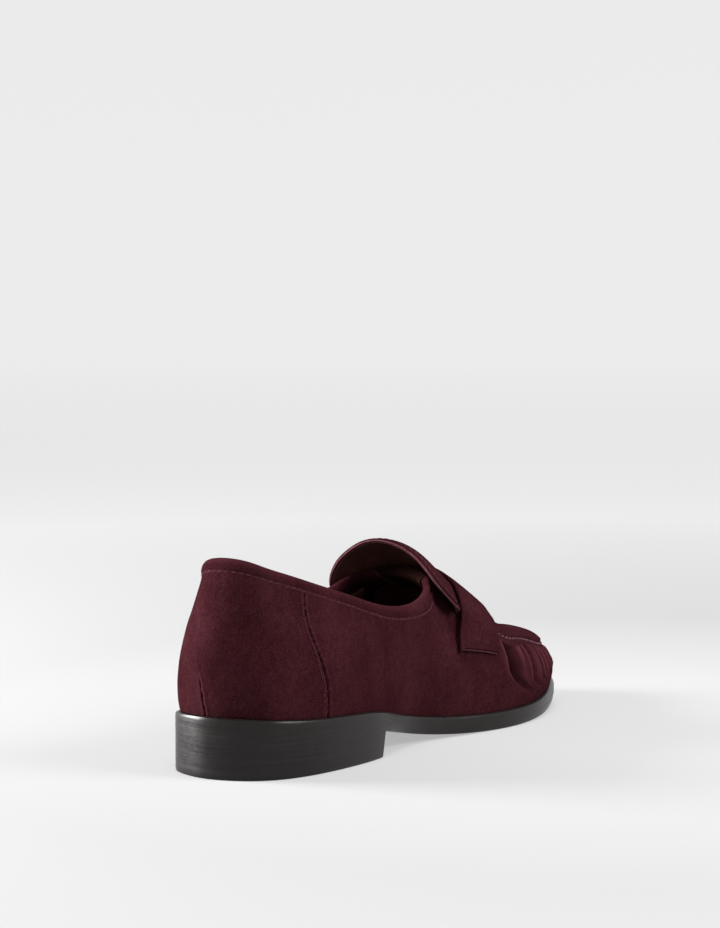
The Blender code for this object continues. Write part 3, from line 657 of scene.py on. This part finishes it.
# A much darker copy of the lining: painted shade for the throat, which lies deep in shadow.
SHADED_THROAT_LINING = smooth_leather("shaded_lining", (0.0085, 0.0034, 0.0027), (0.0145, 0.0060, 0.0048))
RAW_LINING = smooth_leather("raw_lining_edge", (0.030, 0.014, 0.012), (0.050, 0.024, 0.021))
THREAD = fibrous("burgundy_thread", (0.024, 0.0062, 0.0082), (0.070, 0.025, 0.032), 330)
PALE_THREAD = fibrous("pale_thread", (0.055, 0.018, 0.024), (0.110, 0.046, 0.056), 500)
DARK_THREAD = fibrous("dark_thread", (0.010, 0.0045, 0.0045), (0.020, 0.010, 0.010), 2600, 0.8)
STEEL = brushed_steel()
FOAM = fibrous("foam", (0.42, 0.37, 0.30), (0.60, 0.55, 0.47), 1400, 0.95)
FELT = fibrous("stiffener_felt", (0.24, 0.21, 0.19), (0.38, 0.35, 0.32), 900, 0.95, (1, 1, 0.3))
BOARD = fibrous("insole_board", (0.33, 0.21, 0.12), (0.47, 0.32, 0.19), 700)
CORK = fibrous("ground_cork", (0.17, 0.10, 0.055), (0.38, 0.25, 0.15), 420, 0.95, depth=0.0004)


# ---- the sole

def sole_layer(profile, rows, end=TIP, hollow=0.0):
    """Sections of a sole layer from its back to index end. profile(x) gives (inset, z) up its side."""
    spread = np.linspace(0, 1, 9)[1:-1, None]
    sections = []
    for s in np.linspace(0, end, rows):
        ends = np.array([s, LAP - s])
        edge, run_out = rim(ends), outward(ends)
        sides = [np.column_stack([edge - run_out * inset, np.full(2, z)]) for inset, z in profile(edge[0, 0])]
        lateral, medial = np.array(sides).transpose(1, 0, 2)
        top = lateral[-1] * (1 - spread) + medial[-1] * spread
        bottom = medial[0] * (1 - spread) + lateral[0] * spread
        section = np.vstack([lateral, top, medial[::-1], bottom])
        side, span = lateral[0, 1], max(abs(medial[0, 1] - lateral[0, 1]), 1e-6)
        sections.append(leaned(section, side, span, hollow, s / end) if hollow else section)
    if hollow:
        other_side = np.roll(section[::-1], -len(spread), axis=0)
        for k in np.linspace(0, 0.5, 6)[1:]:
            sections.append(leaned(section * (1 - k) + other_side * k, side, span, hollow, 1.0))
    return sections


def leaned(section, side, span, hollow, reach):
    """A section of the heel, leant and hollowed more and more towards the breast."""
    width = np.abs(section[:, 1] - side) / span
    shift = HEEL_SLANT * (section[:, 2] / HEEL_TOP - 0.1) - hollow * 4 * width * (1 - width)
    return section + np.outer(shift * reach ** 10, (1, 0, 0))


def outsole_top(x):
    return rim_z([x])[0] - WELT_THICK - GAP


def toe_share(x):
    """0 from the heel to the ball, rising to 1 at the toe: where the welt's groove is open."""
    return float(smooth(GROOVE_START, GROOVE_FULL, x))


def welt_profile(x):
    top = rim_z([x])[0]
    tilt = 0.15 + 1.9 * toe_share(x)
    base = top - WELT_THICK - GAP * 0.5
    groove = GROOVE * toe_share(x)
    return [(EDGE_BAND, base), (groove, base), (groove * 0.35, base + 0.5), (0.0, base + 1.0),
            (tilt * 0.25, top - 1.3), (tilt * 0.7, top - 0.5), (tilt + 0.12, top - 0.16), (tilt + 0.45, top),
            (EDGE_BAND, top)]


def outsole_profile(x):
    top = outsole_top(x) + GAP * 0.5
    low = outsole_top(x) - OUTSOLE_THICK
    fore = float(smooth(84, 98, x))
    groove = GROOVE * toe_share(x)
    tuck = (0.35 + 0.45 * toe_share(x)) * fore + 0.01
    return [(EDGE_BAND, low), (tuck + 0.5 * fore, low), (tuck + 0.1 * fore, low + 0.25),
            (tuck * 0.55, low + 0.9), (tuck * 0.2, low + 2.2), (0.0, top - 1.0), (groove * 0.35, top - 0.5),
            (groove, top), (EDGE_BAND, top)]


def stack_height(x, level):
    """The heel stack's layer borders: 0 is the top piece's upper face and LIFT_COUNT the outsole."""
    bottom = outsole_top(x) - OUTSOLE_THICK
    return TOP_PIECE_THICK + GAP + (bottom - TOP_PIECE_THICK - 2 * GAP) * level / LIFT_COUNT


def lift_profile(level):
    """Side of a heel lift, flush with its neighbours."""
    def profile(x):
        low = stack_height(x, level) if level else TOP_PIECE_THICK
        high = stack_height(x, level + 1)
        if level == LIFT_COUNT - 1:
            high = outsole_top(x) - OUTSOLE_THICK
        return [(EDGE_BAND, low), (0.0, low), (0.0, (low + high) / 2), (0.0, high), (EDGE_BAND, high)]
    return profile


def top_piece_profile(x):
    return [(EDGE_BAND, 0.0), (0.7, 0.0), (0.25, 0.22), (0.05, 0.8), (0.0, 2.0), (0.0, TOP_PIECE_THICK),
            (EDGE_BAND, TOP_PIECE_THICK)]


def make_sole():
    """Welt, outsole, stacked heel and top piece, with rounded and slightly sprung edges."""
    for node, profile in (("welt", welt_profile), ("outsole", outsole_profile)):
        settle(crisp(loft(f"sole_{node}", sole_layer(profile, 170))), EDGE, [node])
    heel = [("heel_top", top_piece_profile, RUBBER, "heel_rubber", "heel_top_piece")]
    for level in range(LIFT_COUNT):
        heel.append((f"heel_stack_{level + 1}", lift_profile(level), STACK, "stack_leather",
                     f"heel_lift_{level + 1}"))
    for name, profile, finish, slot, node in heel:
        sections = sole_layer(profile, 70, HEEL_END, BREAST_HOLLOW)
        settle(crisp(loft(name, sections)), finish, [node])


# ---- stitching

def stitches(name, points, outs, stitch, finish, nodes=(), body="shoe"):
    """A row of separate stitches along a line: slim beads whose ends dip into the surface."""
    points = np.asarray(points, float)
    outs = unit(np.asarray(outs, float))
    length, gap, radius = stitch
    travel = np.concatenate([[0], np.cumsum(np.linalg.norm(np.diff(points, axis=0), axis=1))])
    sides, rings = 6, 7
    share = np.linspace(0, math.pi, rings)
    turn = np.linspace(0, 2 * math.pi, sides, endpoint=False)[None, :, None]
    thick = radius * (0.35 + 0.65 * np.sin(share) ** 0.6)
    dip = radius * 1.1 * (1 - np.sin(share))
    count = int(travel[-1] // (length + gap))
    beads, faces = [], []
    for k in range(count):
        middle = (k + 0.5) * travel[-1] / count
        centre = read_along(points, travel, middle - length / 2 * np.cos(share))
        out = unit(read_along(outs, travel, [middle]))[0]
        side = unit(np.cross(unit(centre[-1] - centre[0]), out))
        centre = centre - np.outer(dip, out)
        beads.append(centre[:, None] + (side * np.cos(turn) + out * np.sin(turn)) * thick[:, None, None])
        start = k * rings * sides
        faces += grid_faces(rings, sides, ring=True, start=start)
        faces.append(tuple(range(start, start + sides)))
        faces.append(tuple(range(start + (rings - 1) * sides, start + rings * sides))[::-1])
    piece = mesh_object(name, np.reshape(beads, (-1, 3)), faces)
    mend(piece.data)
    return settle(piece, finish, nodes, body)


def read_along(values, travel, at):
    """Rows of three values, read at distances along their line."""
    return np.column_stack([np.interp(at, travel, values[:, i]) for i in range(3)])


# ---- the upper

def pleat_depth(u, v):
    """How far the gathered wall is drawn in at index u and share v, and how much painted shade its folds get.

    Each pleat has a steep rear flank, a flat valley ahead of it and a low crest behind it. Its valley gets
    painted shade, and its crest and the rise ahead of the valley get painted highlight.
    """
    s, side = fold(u)
    depth, shade = np.zeros(np.shape(u)), np.zeros(np.shape(u))
    top = PLEAT_TOP + PLEAT_TOP_RISE * smooth(10.7, 12.2, s)
    window_top = 1 - smooth(top - 0.01, top + 0.02, v)
    hook = PLEAT_HOOK * np.maximum(HOOK_START - v, 0) ** 2
    for k, (index, lean, deep, behind, ahead, low) in enumerate(PLEATS):
        shift = 0.12 * math.sin(2.3 * k + 0.7) * (side > 0)
        away = s - (index + shift + lean * (v - 0.8) + hook)
        wave = np.where(away < 0, np.exp(-(away / behind) ** 2), np.exp(-np.abs(away / ahead) ** 3.5))
        crest = np.exp(-((away + behind * 2.0) / (behind * 1.4)) ** 2) * 0.20
        window = window_top * smooth(low, low + 0.3, v)
        depth += deep * (wave - crest) * window
        # Painted shade fills the valley ahead of the flank; the crest behind and the rise ahead get painted
        # highlight.
        dark = np.exp(-(np.maximum(away, 0) / ahead) ** 3) * smooth(-behind * 0.9, 0.0, away)
        rise = np.exp(-((away - ahead * 1.7) / (ahead * 0.35)) ** 2) * 0.3
        shade += (dark * (deep / PLEATS[0][2]) ** 1.2 - 3.2 * crest - rise) * window
    return depth, shade


def seam_distance(seam, index, v, index_length):
    """How far points of the wall lie from a seam, in millimetres."""
    return np.abs(index - along(seam, v.ravel()).reshape(v.shape)) * index_length


def seam_dip(distance, width, depth):
    """A groove's depth at a distance from a seam, in millimetres."""
    return depth * np.exp(-(distance / width) ** 2)


def make_wall(name, node, columns, to_seam, raised, edge, order=1):
    """A suede piece of the wall with its pleats, its soft unevenness and the roll-in at its seams."""
    u, v = columns[..., 0], columns[..., 1]
    base = wall(u.ravel(), v.ravel()).reshape(*u.shape, 3)
    frayed = to_seam(u, v) + wobble(base, *FRAYED)
    pleats, shade = pleat_depth(u, v)
    dip = pleats + seam_dip(frayed, 0.3, 0.5) - seam_dip(frayed - 1.3, 0.9, raised)
    # Painted shade in the seam's groove and painted highlight on the raised edges beside it.
    shade = shade + seam_dip(frayed, 0.3, 0.7) - seam_dip(frayed - 1.0, 0.5, 0.5)
    puffed = TOE_PUFF * smooth(12.5, 15, fold(u)[0]) * smooth(0.1, 0.5, v) * (1 - smooth(0.7, 0.95, v))
    points = lifted(wall, u, v, puffed + wobble(base, *UNEVEN_WALL) - dip)
    piece = with_painted_shade(sheet(name, points[::order], SUEDE_THICK, edge=edge), shade[::order])
    settle(piece, SUEDE, [node])


def make_quarters():
    share = np.linspace(0, 1, 80)
    for name, side in (("lateral", 1), ("medial", -1)):
        columns = []
        for k in np.linspace(0, 1, 90):
            v = share * band_share(SIDE_SEAM_TOP * k * side)
            back = along(BACK_SEAM, v) + 0.001 * side
            seam = (along(SIDE_SEAM, v) - SEAM_GAP) * side
            columns.append(np.column_stack([back + (seam - back) * k, v]))

        def to_seam(u, v):
            to_back = seam_distance(BACK_SEAM, u, v, BACK_INDEX_LENGTH) + 4 * smooth(0.18, 0.34, v)
            return np.minimum(seam_distance(SIDE_SEAM, u * side, v, INDEX_LENGTH), to_back)

        make_wall(f"upper_quarter_{name}", f"quarter_{name}", np.array(columns), to_seam, 0.3, 0.06, side)


def make_vamp():
    """The long wall from one side seam round the toe to the other, gathered under the apron seam."""
    share = 1 - (1 - np.linspace(0, 1, 110)) ** 1.15
    fine = 0.46  # the pleated stretch, as a share of the reach to each side
    reach = np.concatenate([np.linspace(-1, -fine, 110)[:-1], np.linspace(-fine, fine, 420),
                            np.linspace(fine, 1, 110)[1:]])
    columns = []
    for k in reach:
        v = share * band_share(TIP + k * (TIP - SIDE_SEAM_TOP))
        half = TIP - along(SIDE_SEAM, v) - SEAM_GAP
        columns.append(np.column_stack([TIP + k * half, v]))

    def to_seam(u, v):
        return seam_distance(SIDE_SEAM, fold(u)[0], v, INDEX_LENGTH)

    make_wall("upper_vamp", "vamp", np.array(columns), to_seam, 0.35, 0.08)


def make_apron():
    """The raised top of the vamp, padded along its seam and closed on the ridge."""
    shares = 0.012 + 0.988 * np.linspace(0, 1, 60) ** 1.3
    indices = np.linspace(9.4, LAP - 9.4, 330)
    u, v = np.meshgrid(indices, shares, indexing="ij")
    base = apron(u.ravel(), v.ravel()).reshape(*u.shape, 3)
    lip = APRON_LIP * smooth(10.5, 13, fold(u)[0]) * np.exp(-(v / 0.22) ** 2) * smooth(0.0, 0.035, v)
    points = lifted(apron, u, v, lip + wobble(base, UNEVEN_APRON) * (1 - smooth(0.8, 0.95, v)))
    points[:, -1] = base[:, -1]
    settle(sheet("upper_apron", points, SUEDE_THICK, weld=0.02), SUEDE, ["apron"])
    at = np.linspace(10.5, LAP - 10.5, 700)
    line = lifted(wall, at, 0.988, 0.15) + (0, 0, 0.25)
    outs = normals(wall, at, 0.99) + (0, 0, 0.5)
    stitches("stitch_apron_seam", line, outs, APRON_STITCH, PALE_THREAD, ["apron_thread"])


def skin_tree():
    """The outside of wall and apron as a tree, for laying other pieces on it."""
    points, faces = [], []
    for surface, first, last, columns, low, rows in ((wall, 0, LAP, 420, 0.3, 60),
                                                     (apron, CORNER, LAP - CORNER, 240, 0.01, 40)):
        u, v = np.meshgrid(np.linspace(first, last, columns), np.linspace(low, 1, rows), indexing="ij")
        faces += grid_faces(columns, rows, start=len(points))
        points += surface(u.ravel(), v.ravel()).tolist()
    return BVHTree.FromPolygons(points, faces)


def laid(tree, points, outs, lift):
    """Points moved onto the skin and raised from it by lift."""
    found = []
    for point, out in zip(points, outs):
        spot, normal, _, _ = tree.find_nearest(Vector(point))
        normal = normal if normal.dot(Vector(out)) > 0 else -normal
        found.append(np.array(spot) + np.array(normal) * lift)
    return np.array(found)


def make_collar(tree):
    """The folded, padded band round the foot opening, sewn down along its lower edge."""
    c = np.linspace(0, OPENING_LAP, 340, endpoint=False)
    s, edge, away, out = band_frame(c)
    width = along(BAND_WIDTH, s)[:, None]
    inner = along(BAND_INNER, s)[:, None]
    rings = []
    for share, more, lift, _ in BAND_OUTSIDE:
        down = width * share + more
        foot = edge + away * down
        grip = smooth(0.8, 3.0, down)
        rings.append((foot + out * lift) * (1 - grip) + laid(tree, foot, out, lift) * grip)
    for share, more, lift, _ in BAND_ROLL:
        rings.append(edge + away * (inner * share + more) + out * lift)
    share, more, lift, _ = BAND_MIDDLE
    rings.append(edge + away * (width * share + more) + out * lift)
    sections = np.transpose(np.array(rings), (1, 0, 2))
    band = loft("collar_roll", sections, lap=True, weld=0.0)
    mend(band.data)
    # Painted shade and highlight on the collar band: darker at its sewn lower edge and down inside the roll,
    # lighter beside the stitching and over the top of the roll.
    tone = [row[-1] for row in [*BAND_OUTSIDE, *BAND_ROLL, BAND_MIDDLE]]
    with_painted_shade(band, np.tile(tone, (len(c), 1)) * (1.0 + np.maximum(wobble(sections, UNEVEN_COLLAR_SHADE), -0.3)))
    settle(band, SUEDE, ["collar_band"])


def make_collar_core():
    """The foam inside the band, as a four-sided strip."""
    _, edge, away, out = band_frame(np.linspace(-COLLAR_PAD_END, COLLAR_PAD_END, 200))
    core = [edge + away * a + out * o for a, o in ((2.7, -1.3), (5.4, -1.5), (5.4, -2.3), (2.7, -2.1))]
    foam = crisp(loft("collar_padding", np.transpose(np.array(core), (1, 0, 2))))
    settle(foam, FOAM, ["collar_foam"])


def make_collar_stitches(tree):
    """The stitching along the band's lower edge, outside and inside the shoe."""
    s, edge, away, out = band_frame(np.linspace(-COLLAR_STITCH_END, COLLAR_STITCH_END, 700))
    foot = edge + away * (along(BAND_WIDTH, s) - 1.15)[:, None]
    line = laid(tree, foot, out, 0.24)
    stitches("stitch_collar", line, out, COLLAR_STITCH, THREAD, ["collar_thread"])
    line = edge + away * (along(BAND_INNER, s) - 1.3)[:, None] - out * 4.15
    stitches("stitch_collar_inside", line, -out, COLLAR_INNER_STITCH, DARK_THREAD)


def make_throat_lining():
    """The lining that closes the band's inner face in front of the foot, with the seam at its medial end."""
    reach = [(0.05, -0.30, 12.1), (-0.18, -0.8, 12.06), (-0.32, -1.8, 12.0), (-0.34, -2.8, 11.94),
             (-0.15, -3.8, 11.86), (0.6, -4.6, 11.8), (2.0, -4.8, 11.71), (5.0, -4.95, 11.55),
             (9.0, -5.2, 11.33), (13.0, -5.6, 11.1)]
    rows = []
    for a, o, end in reach:
        _, edge, away, out = band_frame(np.linspace(9.5, end, 60))
        rows.append(edge + away * a + out * o)
    rows = np.array(rows)
    settle(sheet("lining_throat", rows[:, ::-1], LINING_THICK, edge=0.2), SHADED_THROAT_LINING)
    seam = bead_along("lining_throat_seam", rows[1:, -1], 0.32)
    settle(seam, RAW_LINING)


def saddle_index(rows, steps):
    """An edge of the strap, level where it crosses the ridge at w = 2."""
    return along(rows + [(4 - w, u) for w, u in rows[-2::-1]], steps)


def saddle_row(share, low, lift_low, lift_high, count):
    """A row over the instep from the lateral to the medial side; share is 0 at the strap's rear edge."""
    steps = np.linspace(low, 2, count)
    index = saddle_index(STRAP_REAR, steps) * (1 - share) + saddle_index(STRAP_FRONT, steps) * share
    lift = np.interp(steps, [0.55, 0.7], [lift_low, lift_high])
    lateral = lifted(over, index, steps, lift)
    medial = lifted(over, LAP - index, steps, lift)
    middle = (lateral[-1:] + medial[-1:]) / 2
    return np.vstack([lateral[:-1], middle, medial[-2::-1]])


def evened(rows, passes):
    """A grid of points with the creases along its rows relaxed, its outline kept."""
    rows = np.array(rows)
    for _ in range(passes):
        rows[:, 1:-1] = rows[:, 1:-1] * 0.5 + (rows[:, 2:] + rows[:, :-2]) * 0.25
    return rows


def make_strap():
    """The saddle strap over the tongue's root, stitched and raw along both ends."""
    flat_lift = GAP + STRAP_THICK
    raised_lift = flat_lift + GAP + TONGUE_THICK
    rows = []
    for k in np.linspace(0, 1, 40):
        low = STRAP_LOW_REAR + (STRAP_LOW_FRONT - STRAP_LOW_REAR) * k
        lift = np.interp(k, [0.75, 1], [raised_lift, flat_lift])
        rows.append(saddle_row(k, low, flat_lift, lift, 90))
    rows = evened(rows, 30)
    rows = rows + wobble(rows, UNEVEN_STRAP)[..., None] * (0, 0, 1.0)
    border = np.minimum(*(np.linalg.norm(rows - rows[:, [end]], axis=2) for end in (0, -1)))
    outs = -grid_outs(rows)  # the strap's rows follow each other forwards
    sunk = rows - outs * seam_dip(border - STRAP_MARGIN, 0.5, 0.28)[..., None]
    settle(sheet("saddle_strap", sunk[::-1], STRAP_THICK, edge=0.3), SUEDE, ["strap"])
    for name, column in (("lateral", 0), ("medial", -1)):
        toward = 1 if column == 0 else -2
        inward = unit(rows[:, toward] - rows[:, column])
        line = rows[:, column] + inward * STRAP_MARGIN - outs[:, column] * 0.05
        stitches(f"stitch_strap_{name}", line[2:-2], outs[2:-2, column], STRAP_STITCH, THREAD)
        raw = rows[:, column] - outs[:, column] * STRAP_THICK * 0.3 + inward * 0.1
        settle(bead_along(f"strap_raw_edge_{name}", raw[2:-1], 0.66), RAW_EDGE)


def grid_outs(rows):
    """The outward directions at a grid of points over the instep whose rows follow each other backwards."""
    return -unit(np.cross(np.gradient(rows, axis=0), np.gradient(rows, axis=1)))


def tongue_rows(depth=0.0, tuck=0.62):
    """The tongue from under the strap to its free edge, sunk below its outer face by depth."""
    edge = np.asarray(TONGUE_EDGE, float)
    base_lift = GAP + TONGUE_THICK
    root_lift = 3 * GAP + TONGUE_THICK + LINING_THICK
    half = TONGUE_ACROSS // 2 + 1
    across = np.linspace(0, 1, TONGUE_ACROSS)
    free = natural(np.column_stack([np.linspace(0, 1, len(edge)), edge]), across)
    root = saddle_row(-0.06, TONGUE_LOW, root_lift, root_lift, half)
    rows = [saddle_row(k, TONGUE_LOW, base_lift, base_lift, half) for k in np.linspace(tuck, 0.1, 8)]
    crown = np.sin(math.pi * across)[:, None]
    for k in np.linspace(0, 1, TONGUE_ALONG):
        row = root * (1 - k) + free * k
        rows.append(row + crown * np.array([0, 0, 1.0]) * TONGUE_RISE * k * (1 - k))
    rows = np.array(rows)
    return rows - grid_outs(rows) * depth


def make_tongue():
    """The tongue: suede over a leather lining, one piece through the flex line behind the strap."""
    outer = tongue_rows()
    outer = outer + wobble(outer, UNEVEN_TONGUE)[..., None] * (0, 0, 1.0)
    cover = sheet("tongue_cover", outer[::-1], TONGUE_THICK, edge=0.3)
    settle(cover, SUEDE, ["tongue", "tongue_base"], body=None)
    inner = tongue_rows(TONGUE_THICK + 0.08, tuck=0.3)
    inner[-1] += unit(inner[-4] - inner[-1]) * 0.7
    back = sheet("tongue_back", inner[::-1], LINING_THICK, edge=0.25)
    settle(back, LINING, ["tongue_lining"], body=None)
    bead = bead_along("tongue_raw_edge", tongue_rows(TONGUE_THICK * 0.95)[-1], 0.44)
    settle(bead, RAW_EDGE, body=None)
    margin = outer[-1] + unit(outer[-4] - outer[-1]) * TONGUE_MARGIN
    row = stitches("stitch_tongue", margin, grid_outs(outer)[-3], TONGUE_STITCH, THREAD, body=None)
    for piece in (cover, back, bead, row):
        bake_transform(piece)


def bead_along(name, points, radius, sides=8):
    """A thin round bead through points, closed at both ends."""
    points = np.asarray(points, float)
    run = unit(np.gradient(points, axis=0))
    side = unit(np.cross(run, (0.3, 0.2, 1.0)))
    out = np.cross(side, run)
    taper = np.minimum(1, np.minimum(np.arange(len(points)), np.arange(len(points))[::-1]) / 2 + 0.3)
    turns = np.linspace(0, 2 * math.pi, sides, endpoint=False)
    rings = [points + (side * math.cos(t) + out * math.sin(t)) * radius * taper[:, None] for t in turns]
    return loft(name, np.transpose(np.array(rings), (1, 0, 2)), weld=0.001)


def inside_sheet(name, node, start, end, columns, top, depth, thickness, finish, slot):
    """A sheet at a depth inside the wall, from the footbed up to share top(u), that follows the gathers."""
    grid = []
    for u in np.linspace(start, end, columns):
        shares = np.linspace(share_at_height(u, FOOTBED_HEIGHT), top(u), 30)
        grid.append(np.column_stack([np.full(30, u), shares]))
    u, v = np.moveaxis(np.array(grid), 2, 0)
    points = lifted(wall, u, v, -depth - np.maximum(pleat_depth(u, v)[0], 0))
    settle(sheet(name, points, thickness, edge=0.2), finish, [node])


def make_linings():
    """The leather inside the heel and the forepart, the toe's stiffener, and the sock under the foot."""
    def heel_top(u):
        return share_below_top(u, along(BAND_INNER, [abs(u)])[0] + 0.4)

    def fore_top(u):
        s = fold(np.array([u]))[0][0]
        if s < CORNER:
            return share_below_top(u, along(BAND_INNER, [s])[0] + 1.0)
        return 0.9 - 0.12 * max(0.0, 10 - s)

    leather = LINING_DEPTH, LINING_THICK, LINING, "lining_leather"
    start, end = LINING_SPLIT + 0.02, LAP - LINING_SPLIT - 0.02
    inside_sheet("lining_heel", "quarter_lining", -LINING_SPLIT, LINING_SPLIT, 150, heel_top, *leather)
    inside_sheet("lining_forepart", "vamp_lining", start, end, 150, fore_top, *leather)
    inside_sheet("toe_stiffener", "toe_puff", PUFF_START, LAP - PUFF_START, 200, lambda u: 0.9, PUFF_DEPTH,
                 PUFF_THICK, FELT, "stiffener")

    def sock_profile(x):
        low = sock_height(x)
        high = low + SOCK_THICK
        return [(12.0, low), (7.2, low), (7.0, low + 0.3), (7.2, high), (12.0, high)]

    settle(loft("sock", sole_layer(sock_profile, 90)), LINING, ["sock_lining"])


def sock_height(x):
    """The underside of the sock lining above the floor at x."""
    return rim_z([x])[0] + 4 * GAP + SUEDE_THICK + INSOLE_THICK + FOAM_THICK


def make_seam_stitches():
    """Rows beside the side seams, and the welt's stitching round the forepart."""
    for name, side in (("lateral", 1), ("medial", -1)):
        v = np.linspace(0.01, 0.86, 160)
        for row, shift in (("rear", -0.12), ("front", 0.06)):
            u = (along(SIDE_SEAM, v) + shift) * side
            line = lifted(wall, u, v, 0.14)
            line = line + wobble(line, UNEVEN_STITCHING)[:, None] * (1.0, 0, 0)
            stitches(f"stitch_side_{name}_{row}", line, normals(wall, u, v), SIDE_STITCH, THREAD)
    u = np.linspace(0, LAP, 1500)
    line = rim(u, 1.55 + 0.5 * smooth(GROOVE_START, GROOVE_FULL, rim(u)[:, :1]))
    line = np.column_stack([line, rim_z(line[:, 0]) + 0.06])
    stitches("stitch_welt", line, np.tile((0, 0, 1.0), (len(u), 1)), WELT_STITCH, DARK_THREAD)


# ---- inside pieces that keep their shape

def dress_inner_nodes():
    """The CAD's own meshes stay as the hidden inner pieces, with the looks of their materials."""
    finishes = {"shank": STEEL, "insole_board": BOARD, "bottom_filler": CORK, "footbed_foam": FOAM,
                "heel_counter": FELT, "apron_lining": LINING}
    finishes.update({f"heel_nail_{number}": STEEL for number in range(1, 6)})
    for node, finish in finishes.items():
        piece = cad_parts[node]
        if not piece.material_slots:
            piece.data.materials.append(finish)
        for held in piece.material_slots:
            held.material = finish


# ---- studio, in metres

FLOOR_RADIUS = 3.0  # the floor is flat to here and rises as a quarter circle of this radius


def make_camera():
    """A long lens behind the heel on the lateral side, looking forwards and slightly down."""
    spot = Vector((-1.17366, -0.71268, 0.23177))
    forward = Vector((0.84899, 0.52183, -0.08314)).normalized()
    right = forward.cross(Vector((0, 0, 1))).normalized()
    up = right.cross(forward)
    lens = bpy.data.cameras.new("camera")
    lens.sensor_width = 36.0
    lens.lens = 123.25
    camera = linked("camera", lens)
    turn = Matrix((right, up, -forward)).transposed()
    camera.matrix_world = Matrix.Translation(spot) @ turn.to_4x4()
    bpy.context.scene.camera = camera


def make_floor():
    """A pale floor whose far edge rises smoothly, so that no horizon shows."""
    climb = np.linspace(0, math.pi / 2, 24)[1:]
    radius = FLOOR_RADIUS * np.concatenate([np.linspace(0, 1, 12), 1 + np.sin(climb)])
    height = FLOOR_RADIUS * np.concatenate([np.zeros(12), 1 - np.cos(climb)])
    turns = np.linspace(0, 2 * math.pi, 96, endpoint=False)
    points = [(r * math.cos(t), r * math.sin(t), h) for t in turns for r, h in zip(radius, height)]
    mesh = bpy.data.meshes.new("studio_floor")
    mesh.from_pydata(points, [], grid_faces(len(turns), len(radius), lap=True))
    mesh.shade_smooth()
    made, tree, surface = new_material("studio_floor")
    middle = {0: place_coords(tree), 1: (0.1, -0.1, 0.0)}
    spread = add(tree, "ShaderNodeVectorMath", middle, operation="DISTANCE").outputs["Value"]
    # Painted light: the floor glows at 0.43 under the shoe, dips to 0.33 about a third of a metre out and
    # rises to 0.62 far off, on top of the light it gets from the lamps.
    glow = range_value(tree, spread, 0.10, 0.34, 0.43, 0.33)
    for start, end, more in ((0.36, 0.9, 0.22), (0.9, 3.0, 0.07)):
        glow = math_value(tree, "ADD", glow, range_value(tree, spread, start, end, 0.0, more))
    connect(surface, {"Base Color": (0.185, 0.185, 0.185, 1), "Roughness": 1.0, "Specular IOR Level": 0.0,
                      "Emission Color": (1.0, 1.0, 1.0, 1), "Emission Strength": glow})
    mesh.materials.append(made)
    linked("studio_floor", mesh)


def add_light(name, kind, power, direction, spot=(0, 0, 0)):
    """A light at a spot that shines along a direction."""
    light = bpy.data.lights.new(name, kind)
    light.energy = power
    made = linked(name, light)
    made.location = spot
    made.rotation_mode = "QUATERNION"
    made.rotation_quaternion = Vector(direction).to_track_quat("-Z", "Y")
    return light


def make_light():
    """A soft overhead light, two softboxes and an even grey surround."""
    world = bpy.data.worlds.new("studio")
    bpy.context.scene.world = world
    world.use_nodes = True
    connect(world.node_tree.nodes["Background"], {"Color": (1.0, 1.0, 1.0, 1), "Strength": 0.28})
    add_light("overhead", "SUN", 2.3, (0.20, 0.10, -1.0)).angle = math.radians(30)
    for name, spot, aim, width, power in (("left_box", (-0.42, 0.82, 0.30), (-0.09, 0.0, 0.05), 0.45, 36.0),
                                          ("right_box", (0.15, -0.95, 0.70), (0.0, 0.0, 0.04), 0.6, 18.0)):
        box = add_light(name, "AREA", power, Vector(aim) - Vector(spot), spot)
        box.shape = "RECTANGLE"
        box.size = width
        box.size_y = 0.6
    bpy.context.scene.view_settings.view_transform = "Standard"


make_sole()
make_quarters()
make_vamp()
make_apron()
SKIN = skin_tree()
make_collar(SKIN)
make_collar_core()
make_collar_stitches(SKIN)
make_throat_lining()
make_strap()
make_tongue()
make_linings()
make_seam_stitches()
dress_inner_nodes()
make_camera()
make_floor()
make_light()
